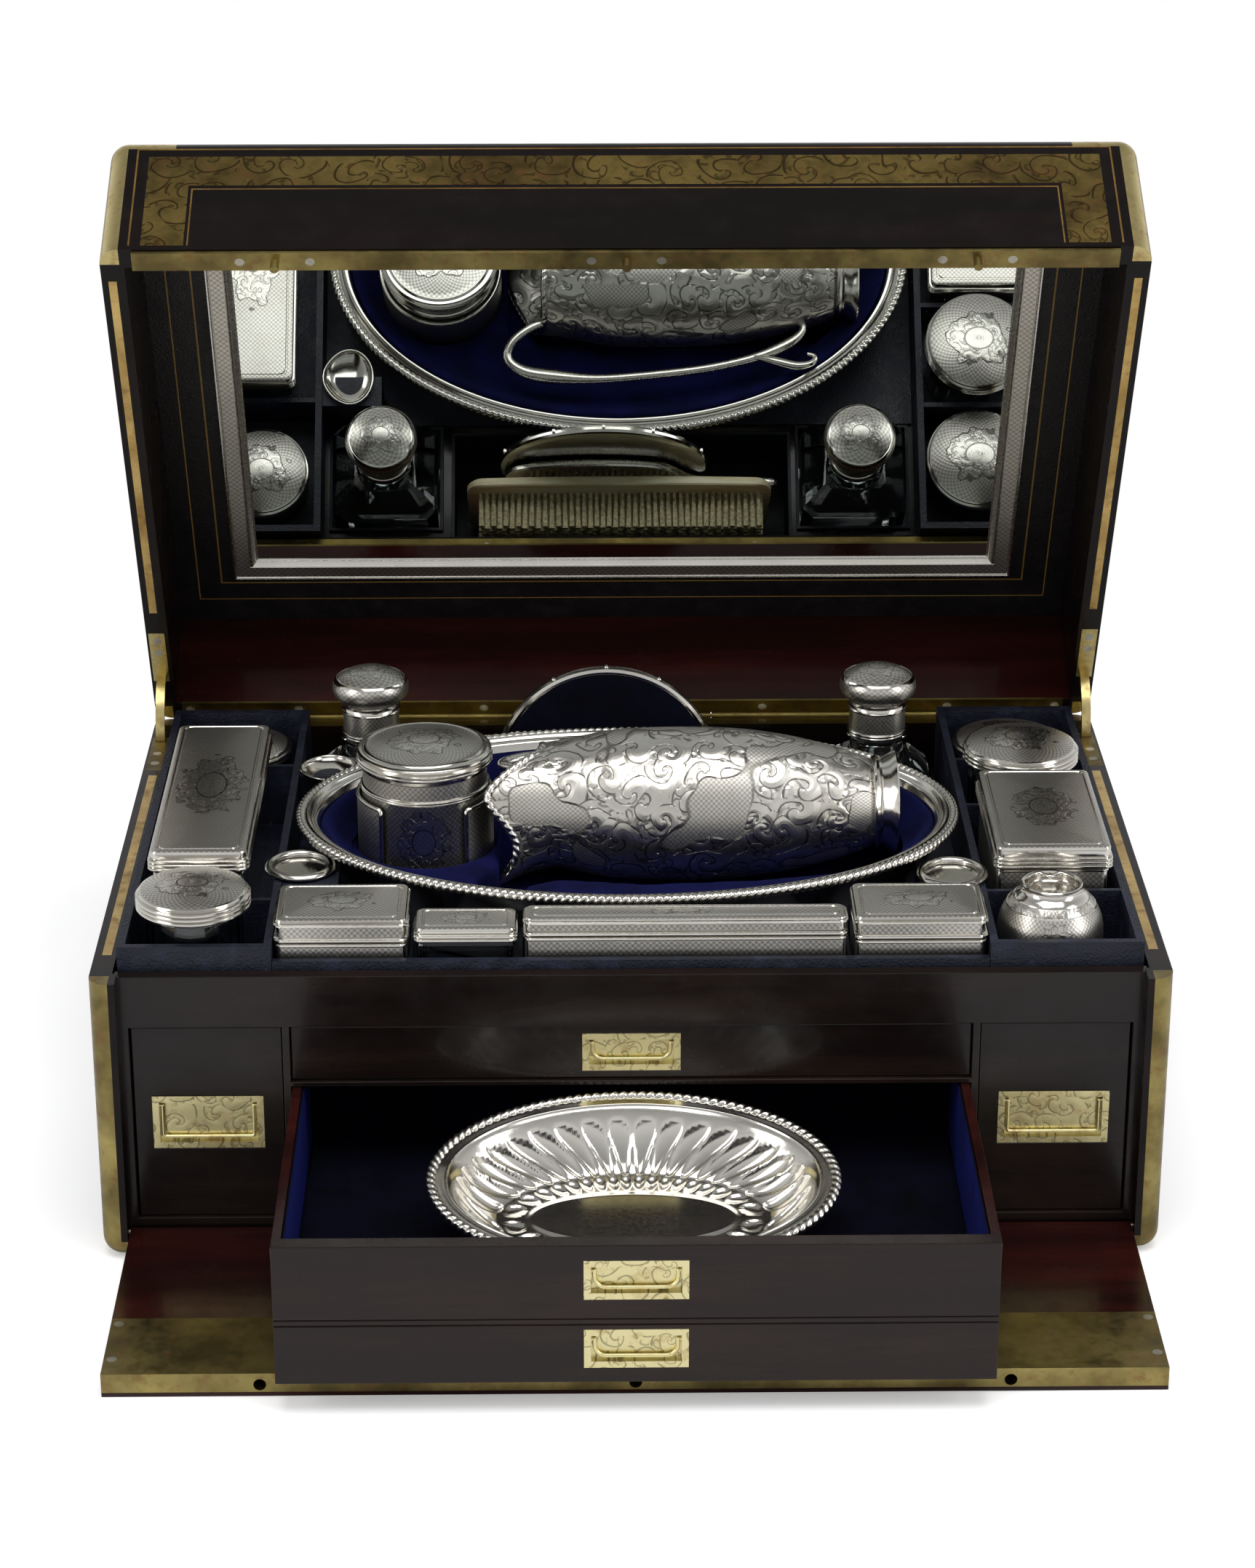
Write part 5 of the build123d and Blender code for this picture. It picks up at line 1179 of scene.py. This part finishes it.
ring_section = [(15.9, 147.7), (16.7, 148.3), (16.8, 149.0), (16.2, 149.9), (15.2, 150.5),
                (14.0, 150.6), (13.0, 150.2), (12.4, 149.4), (12.2, 148.0), (12.2, 139.0),
                (11.4, 138.6)]
for number, (x, y) in enumerate(((-152.0, -54.0), (149.0, -66.0))):
    ring = turned_piece("napkin_ring_%d" % number, (x, y), ring_section, segments=72)
    give(ring, "case", "silver", [silver_plain, leather_blue], "rings_and_scoop")
    # faces inside the ring's hole below 147 mm take the leather: its floor stands for the tray
    # seen through the hole, and the leather on its silver inner wall is painted shade
    paint_faces(ring, 1, lambda c, n: c.z < 147.0 and n.z > -0.5
                and Vector((c.x - x, c.y - y)).length < 12.6)
# a small bowl with a lip on its left, drawn from its rim down
scoop_rows = []
for step in range(12, 0, -1):
    slope = step / 12 * math.pi / 2
    row = []
    for i in range(48):
        angle = 2 * math.pi * i / 48
        reach = 1.0 + 0.14 * max(0.0, math.cos(angle - math.pi)) ** 4
        row.append(Vector((-145 + 13.0 * reach * math.cos(angle) * math.sin(slope),
                           59.5 + 16.0 * math.sin(angle) * math.sin(slope),
                           145.0 + 6.4 * (1 - math.cos(slope)))))
    scoop_rows.append(row)
scoop = rows_to_piece("pap_scoop", scoop_rows, caps="last", angle=60)
modify(scoop, "SOLIDIFY", thickness=0.9 * MM)
give(scoop, "case", "silver", silver_plain, "rings_and_scoop")
print("pot, rings and scoop made")

# %% [markdown]
# ### Brushes and hand mirror
# They stand on edge in the back well, so their round faces look at the lid. Each is
# modelled lying down, where a section is easy to read, and is then turned upright.

# %% Standing pieces up
def set_matrix(piece, matrix):
    """Moves a finished mesh by a matrix and leaves its object at the origin."""
    start_piece(piece)
    piece.matrix_world = matrix
    bpy.ops.object.transform_apply(location=True, rotation=True, scale=True)
    return piece


def stand_up(x, y, z):
    """From lying flat, face up, to standing with its face to the front, about a point."""
    return (Matrix.Translation(Vector((x, y, z)) * MM)
            @ Matrix.Rotation(math.radians(90), 4, "X"))


# hand mirror: velvet-lined face to the front, silver rim with small pins
HAND_MIRROR = (-9.0, 102.2, 130.9)
hand_rim = turned_piece("hand_mirror_frame", (0, 0), [
    (50.0, -2.6), (53.0, -2.7), (55.2, -2.2), (56.0, -1.0), (56.0, 0.4), (55.2, 1.6),
    (53.8, 2.2), (52.8, 1.9), (52.4, 1.2)], segments=120)
set_matrix(hand_rim, stand_up(*HAND_MIRROR))
give(hand_rim, "hand_mirror_unit", "silver", silver_plain, "hand_mirror")
hand_pad = turned_piece("hand_mirror_velvet", (0, 0), [
    (52.3, 0.4), (52.2, 1.4), (51.0, 2.0), (46.0, 2.3), (30.0, 2.4), (10.0, 2.4), (0.5, 2.4)],
    segments=120)
set_matrix(hand_pad, stand_up(*HAND_MIRROR))
# the mirror's velvet face takes the darker copy of the velvet: painted shade
give(hand_pad, "hand_mirror_unit", "velvet", velvet_painted_shade)
PIN_CIRCLE = 55.9
for number, angle in enumerate(math.radians(a) for a in (20, 62, 90, 118, 160)):
    pin = turned_piece("hand_mirror_pin_%d" % number, (0, 0), [
        (0.9, -1.4), (1.1, 0.2), (0.9, 1.0), (0.3, 1.4)], segments=12)
    set_matrix(pin, stand_up(HAND_MIRROR[0] + PIN_CIRCLE * math.cos(angle), 101.8,
                             HAND_MIRROR[2] + PIN_CIRCLE * math.sin(angle)))
    give(pin, "hand_mirror_unit", "silver", silver_plain)


def brush_board(name, outline, thickness, centre, crown):
    """A board whose outline is a list of points; its back is softly crowned."""
    middle = Vector((sum(p[0] for p in outline) / len(outline),
                     sum(p[1] for p in outline) / len(outline)))
    soft = smooth_path([(a, b, 0) for a, b in outline], 6, closed=True)
    half = thickness / 2
    section = [(0.985, -half), (1.0, -half + 0.8), (1.0, half - 1.4), (0.985, half - 0.4),
               (0.95, half)]
    section += [(share, half + crown * (0.95 - share)) for share in (0.75, 0.5, 0.2)]
    rings = [[Vector((middle.x + (p.x - middle.x) * share,
                      middle.y + (p.y - middle.y) * share, z)) for p in soft]
             for share, z in section]
    return set_matrix(rows_to_piece(name, rings, caps="both", angle=35.0), stand_up(*centre))


hair_outline = [(-53, -30), (-30, -38), (0, -39), (28, -33), (44, -14), (60, -7.5), (88, -7),
                (90, 0), (88, 7), (60, 7.5), (44, 14), (28, 33), (0, 38.5), (-30, 37), (-53, 28),
                (-58, 0)]
hair_back = brush_board("hair_brush_back", hair_outline, 4.2, (-5.0, 108.0, 111.0), 1.2)
give(hair_back, "hair_brush_unit", "silver", silver_soft, "hair_brush")
clothes_outline = [(-80, -33), (-60, -36.4), (0, -37), (60, -36.4), (80, -33), (81.5, 0),
                   (80, 30), (62, 35.5), (0, 37), (-62, 35.5), (-80, 30), (-81.5, 0)]
clothes_back = brush_board("clothes_brush_back", clothes_outline, 5.2, (-0.5, 116.9, 108.9),
                           0.6)
give(clothes_back, "clothes_brush_unit", "ivory", bone, "clothes_brush")


def bristle_field(brush, x0, x1, z0, z1, y0, y1, columns, rows, spread):
    """Tufts of bristle, each a four-sided spike that spreads a little at its tip."""
    points, faces = [], []
    for c in range(columns):
        for r in range(rows):
            x = x0 + (x1 - x0) * (c + 0.5 * (r % 2)) / (columns - 0.5)
            z = z0 + (z1 - z0) * r / (rows - 1)
            wobble = math.sin(c * 12.9898 + r * 78.233) * 0.5
            long = (y1 - y0) * (0.95 + 0.04 * math.sin(c * 3.1 + r * 5.7))
            f = len(points)
            for y, half, drift in ((y0, 0.8, 0.0), (y0 + long, spread, wobble)):
                points += [(x + dx * half + drift, y, z + dz * half)
                           for dx, dz in ((-1, -1), (1, -1), (1, 1), (-1, 1))]
            faces += [(f + 3, f + 2, f + 1, f), (f + 4, f + 5, f + 6, f + 7)]
            faces += [(f + k, f + (k + 1) % 4, f + 4 + (k + 1) % 4, f + 4 + k)
                      for k in range(4)]
    bristles = faces_to_piece(brush + "_bristles", points, faces)
    give(bristles, brush + "_unit", "ivory", bristle, brush)


bristle_field("clothes_brush", -75, 76, 79, 132, 119.6, 140.0, 44, 15, 1.3)
bristle_field("hair_brush", -50, 30, 84, 132, 110.2, 114.6, 24, 14, 1.2)
print("brushes and hand mirror made")

# %% [markdown]
# ### The oval dish
# The dish has a rope border and lobes, called gadroons, that run like petals from the
# rim to the flat middle. It is made as rows of rings from the rim inwards. A wave
# across each ring raises the lobes, and the wave fades out at both ends.

# %% Dish
# the dish lies low enough for the drawer to shut over it
dish_matrix = (Matrix.Translation(Vector((0.0, DISH_Y, 68.3)) * MM)
               @ Matrix.Rotation(DISH_TILT, 4, "X"))
LOBES, STEPS_OF_A_LOBE, LEAN = 36, 14, 0.33
HEAD, TAIL = 11.5, 29.5      # how far the lobes' ends lie in from the rim
dish_line = smooth_path([(0.0, 0.4, 0), (3.0, 0.6, 0), (6.4, 0.2, 0), (7.0, 0.7, 0),
                         (7.6, 0.1, 0), (9.5, -1.4, 0), (12.0, -4.2, 0), (16.0, -9.6, 0),
                         (20.0, -14.4, 0), (24.0, -18.4, 0), (28.0, -21.2, 0),
                         (31.0, -21.9, 0), (36.0, -22.0, 0), (41.0, -22.0, 0),
                         (44.0, -21.6, 0), (46.0, -21.6, 0), (60.0, -21.6, 0)], 4)
dish_rows = []
steps_round = LOBES * STEPS_OF_A_LOBE
for spot in dish_line:
    share = (spot.x - HEAD) / (TAIL - HEAD)
    row = []
    for i in range(steps_round):
        angle = 2 * math.pi * i / steps_round
        swept = angle - LEAN * math.sin(2 * angle) * max(0.0, min(1.0, share))
        across = 2 * ((swept * LOBES / (2 * math.pi)) % 1.0) - 1
        width = 0.94 - 0.5 * max(0.0, share - 0.35) / 0.65
        head_gap = max(0.0, (HEAD + 4.4 - spot.x) / 4.4)
        tail_gap = max(0.0, (spot.x - TAIL + 3.0) / 3.0)
        lobe = max(0.0, 1 - (across / width) ** 2 - head_gap ** 2 - tail_gap ** 2) ** 0.5
        depth = 2.4 * width * lobe
        drop = 2 * ((angle - LEAN * math.sin(2 * angle)) * LOBES / (2 * math.pi) % 1.0) - 1
        drop_out = abs(spot.x - 35.2) / 4.0
        depth += 0.9 * max(0.0, 1 - (drop / 0.8) ** 2 - drop_out ** 2) ** 0.5
        row.append(((88.6 - spot.x) * math.cos(angle), (60.6 - spot.x) * math.sin(angle),
                    spot.y - depth + 0.6))
    dish_rows.append(row)
dish_sheet = rows_to_piece("oval_dish", dish_rows, caps="last", angle=55.0)
modify(dish_sheet, "SOLIDIFY", thickness=1.0 * MM, offset=-1.0)
set_matrix(dish_sheet, dish_matrix)
give(dish_sheet, "dish_unit", "silver", silver_plain, "dish")
dish_rope = rope_border("dish_rope", ellipse_path((0, 0), 88.2, 60.2, 0.4), 2.6, 4.1)
set_matrix(dish_rope, dish_matrix)
give(dish_rope, "dish_unit", "silver", [silver_rope, silver_groove], "dish")
print("dish made")

# %% [markdown]
# ### The lid's bands and the mirror frame
# The lid is modelled shut and then swung open. An engraved brass band is let into its
# front, along the top and down both ends, with a thin brass string on either side of it.
# Inside, the mirror has a silver frame with a turned band between two mouldings.

# %% Lid bands and strips
def bar(name, low, high, chamfer):
    """A straight strip between two corners in millimetres, with softened edges."""
    start_piece()
    middle = [(a + b) / 2 for a, b in zip(low, high)]
    size = [(b - a) / 2 for a, b in zip(low, high)]
    bpy.ops.mesh.primitive_plane_add(size=2.0, location=(middle[0] * MM, middle[1] * MM,
                                                         low[2] * MM))
    piece = bpy.context.object
    piece.scale = (size[0] * MM, size[1] * MM, 1.0)
    bpy.ops.object.transform_apply(location=True, rotation=True, scale=True)
    bpy.ops.object.mode_set(mode="EDIT")
    bpy.ops.mesh.select_all(action="SELECT")
    bpy.ops.mesh.extrude_region_move(
        TRANSFORM_OT_translate={"value": (0, 0, (high[2] - low[2]) * MM)})
    bpy.ops.mesh.select_all(action="SELECT")
    bpy.ops.mesh.bevel(offset=chamfer * MM, segments=1, affect="EDGES")
    return close_piece(piece, name, 30.0)


# the lid's front as drawn shut: x, height above its rim, and how far proud of the wood
face_up = (Matrix.Translation(Vector((0, -316.0, 0)) * MM)
           @ Matrix.Rotation(math.radians(90), 4, "X"))
SUNK, PROUD = -0.3, 0.12
band_bits = (("lid_band_top", -221.0, 44.8, 221.0, 65.3),
             ("lid_band_left", -221.0, 3.0, -201.5, 44.75),
             ("lid_band_right", 201.5, 3.0, 221.0, 44.75),
             ("lid_string_top", -226.0, 70.2, 226.0, 71.0),
             ("lid_string_left", -226.8, 3.0, -226.0, 71.0),
             ("lid_string_right", 226.0, 3.0, 226.8, 71.0),
             ("lid_inner_string_top", -199.4, 41.9, 199.4, 42.6),
             ("lid_inner_string_left", -200.1, 3.0, -199.4, 42.6),
             ("lid_inner_string_right", 199.4, 3.0, 200.1, 42.6))
for name, x0, z0, x1, z1 in band_bits:
    strip = bar(name, (x0, z0, SUNK), (x1, z1, PROUD), 0.08)
    set_matrix(strip, LID_MATRIX @ face_up)
    give(strip, "lid", "brass", brass_band if "band" in name else brass_string)

# brass strips let into the sides of both rims
for side in (-1, 1):
    middle = side * 235.0
    strip = bar("lid_rim_strip_%d" % side, (middle - 1.9, -297.0, -0.03),
                (middle + 1.9, -78.0, 0.5), 0.02)
    set_matrix(strip, LID_MATRIX)
    give(strip, "lid", "brass", brass_strip)
    middle = side * 234.4
    strip = bar("base_rim_strip_%d" % side, (middle - 2.1, -127.0, 137.6),
                (middle + 2.1, 82.0, 138.03), 0.02)
    give(strip, "case", "brass", brass_strip)

# %% Mirror frame
frame_centre, frame_half = (0.0, -158.0), (200.0, 113.0)
section = [(0.0, -60.2), (0.0, -55.4), (0.5, -54.7), (1.1, -54.5), (1.7, -54.8), (2.0, -55.3),
           (2.3, -55.1), (8.9, -55.1), (9.2, -55.4), (9.5, -54.8), (10.2, -54.3), (10.9, -54.8),
           (11.2, -55.2), (11.8, -55.6), (12.4, -56.8), (13.2, -57.3), (14.0, -58.0),
           (14.0, -60.2)]
mirror_surround = raised("mirror_surround", frame_centre, frame_half, section, corner=0.0,
                         angle=30.0, hollow=True)
set_matrix(mirror_surround, Matrix.Scale(-1, 4, (0, 0, 1)))
face_outwards(mirror_surround, merge=False)
bar_turned = silver("silver_turned_frame", "XY", centre=(0, 158, 138.2),
                    turn=(-LID_ANGLE, 0, 0), rough=0.24, pitch_mm=2.2)
mirror_surround.data.materials.clear()
mirror_surround.data.materials.append(silver_soft)
mirror_surround.data.materials.append(bar_turned)


def on_turned_band(c, n):
    u = abs(c.x - frame_centre[0]) - frame_half[0]
    v = abs(c.y - frame_centre[1]) - frame_half[1]
    return -8.8 < max(u, v) < -2.4 and abs(n.z) > 0.9


paint_faces(mirror_surround, 1, on_turned_band)
set_matrix(mirror_surround, LID_MATRIX)
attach(mirror_surround, "lid")
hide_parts("mirror_frame")
print("lid bands and mirror frame made")

# %% [markdown]
# ### Velvet in the drawers
# A drawer's lining is cloth glued to thin card, so it is a soft-edged tray that lies just inside
# the drawer's walls. Its walls that face left and right take a bluer copy of the velvet, which
# is painted light, and the rest of the centre drawer's lining takes a darker copy, which is
# painted shade.

# %% Drawer linings
def velvet_lining(name, low, high, body, finish, wall=0.9):
    centre, half = [[(b + s * a) / 2 for a, b in zip(low[:2], high[:2])] for s in (1, -1)]
    steps = [(0.3, low[2]), (0.0, low[2] + 0.4), (0.0, high[2] - 0.3), (0.3, high[2]),
             (wall, high[2] - 0.2), (wall + 0.1, low[2] + 1.8), (wall + 0.8, low[2] + 1.1)]
    lining = raised(name, centre, half, steps, corner=1.2, corner_steps=3)
    give(lining, body, "velvet", [finish, velvet_painted_lit_walls])
    # the walls that face left and right take the bluer, lit copy of the velvet: painted light
    paint_faces(lining, 1, lambda c, n: abs(n.x) > 0.8)
    return lining


for drawer, low, high, finish in (
        ("centre_drawer", (-147.9, -283.4, 18.5), (147.9, -111.6, 79.6), velvet_painted_shade),
        ("left_drawer", (-219.4, -136.4, 18.5), (-160.5, 35.4, 108.5), velvet_blue),
        ("right_drawer", (160.5, -136.4, 18.5), (219.4, 35.4, 108.5), velvet_blue),
        ("top_drawer", (-147.9, -136.4, 87.2), (147.9, 35.4, 108.6), velvet_blue)):
    velvet_lining(drawer + "_velvet", low, high, drawer + "_unit", finish)
print("drawers lined")

# %% [markdown]
# ## Floor and lamps

# %% Floor and lamps
bpy.ops.mesh.primitive_plane_add(size=40.0, location=(0, 0, -0.0002))
floor = bpy.context.object
floor.name = "studio_floor"
floor_paint, add = new_finish("pale_floor", Roughness=0.9, Base_Color="#eeeeee")
floor.data.materials.append(floor_paint)
# far from the box the floor is plain white to the camera; near it, it keeps the shadow
reach = add("VectorMath", [add("TexCoord", out="Object")], "Value", operation="LENGTH")
white = add("Emission", [(1, 1, 1, 1), 1.0])
glow = add("Emission", [(1, 1, 1, 1), 0.28])
near = add("AddShader", [add("BsdfDiffuse", ["#f9f9f9"]), glow])
for_camera = add("MixShader", [add("MapRange", [reach, 0.45, 0.8]), near, white])
floor_nodes = floor_paint.node_tree.nodes
lifted = add("MixShader", [add("LightPath", out="Is Camera Ray"),
                           floor_nodes["Principled BSDF"].outputs[0], for_camera])
fill(floor_nodes["Material Output"], {"Surface": lifted})

world = bpy.data.worlds.new("studio_world")
bpy.context.scene.world = world
world.use_nodes = True
add = partial(add_node, world.node_tree)
ray = add("LightPath", out=None).outputs
direct = add("Math", [ray["Is Camera Ray"], ray["Is Transmission Ray"]], operation="MAXIMUM")
height = add("SeparateXYZ", [add("TexCoord", out="Generated")], 2)
sky = add("MapRange", [height, -0.05, 0.9, 1.0, 0.3])
shine = add("Mix", {0: ray["Is Glossy Ray"], 6: (0.42, 0.42, 0.43, 1.0), 7: sky}, 2,
            data_type="RGBA")
fill(world.node_tree.nodes["Background"], {0: add(
    "Mix", {0: direct, 6: shine, 7: (1, 1, 1, 1)}, 2, data_type="RGBA")})


def soft_lamp(name, place, aim, size, power):
    data = bpy.data.lights.new(name, "AREA")
    data.shape = "RECTANGLE"
    data.size, data.size_y = size
    data.energy = power
    lamp = bpy.data.objects.new(name, data)
    bpy.context.collection.objects.link(lamp)
    lamp.location = place
    lamp.rotation_euler = (Vector(aim) - Vector(place)).to_track_quat("-Z", "Y").to_euler()


soft_lamp("top_softbox", (0.1, -0.5, 1.9), (0, 0, 0.1), (1.6, 1.2), 22)
soft_lamp("left_softbox", (-1.7, -0.9, 0.9), (0, 0, 0.15), (0.7, 1.4), 13)
soft_lamp("right_softbox", (1.7, -0.8, 0.9), (0, 0, 0.15), (0.7, 1.4), 11)
bpy.context.scene.view_settings.view_transform = "Standard"
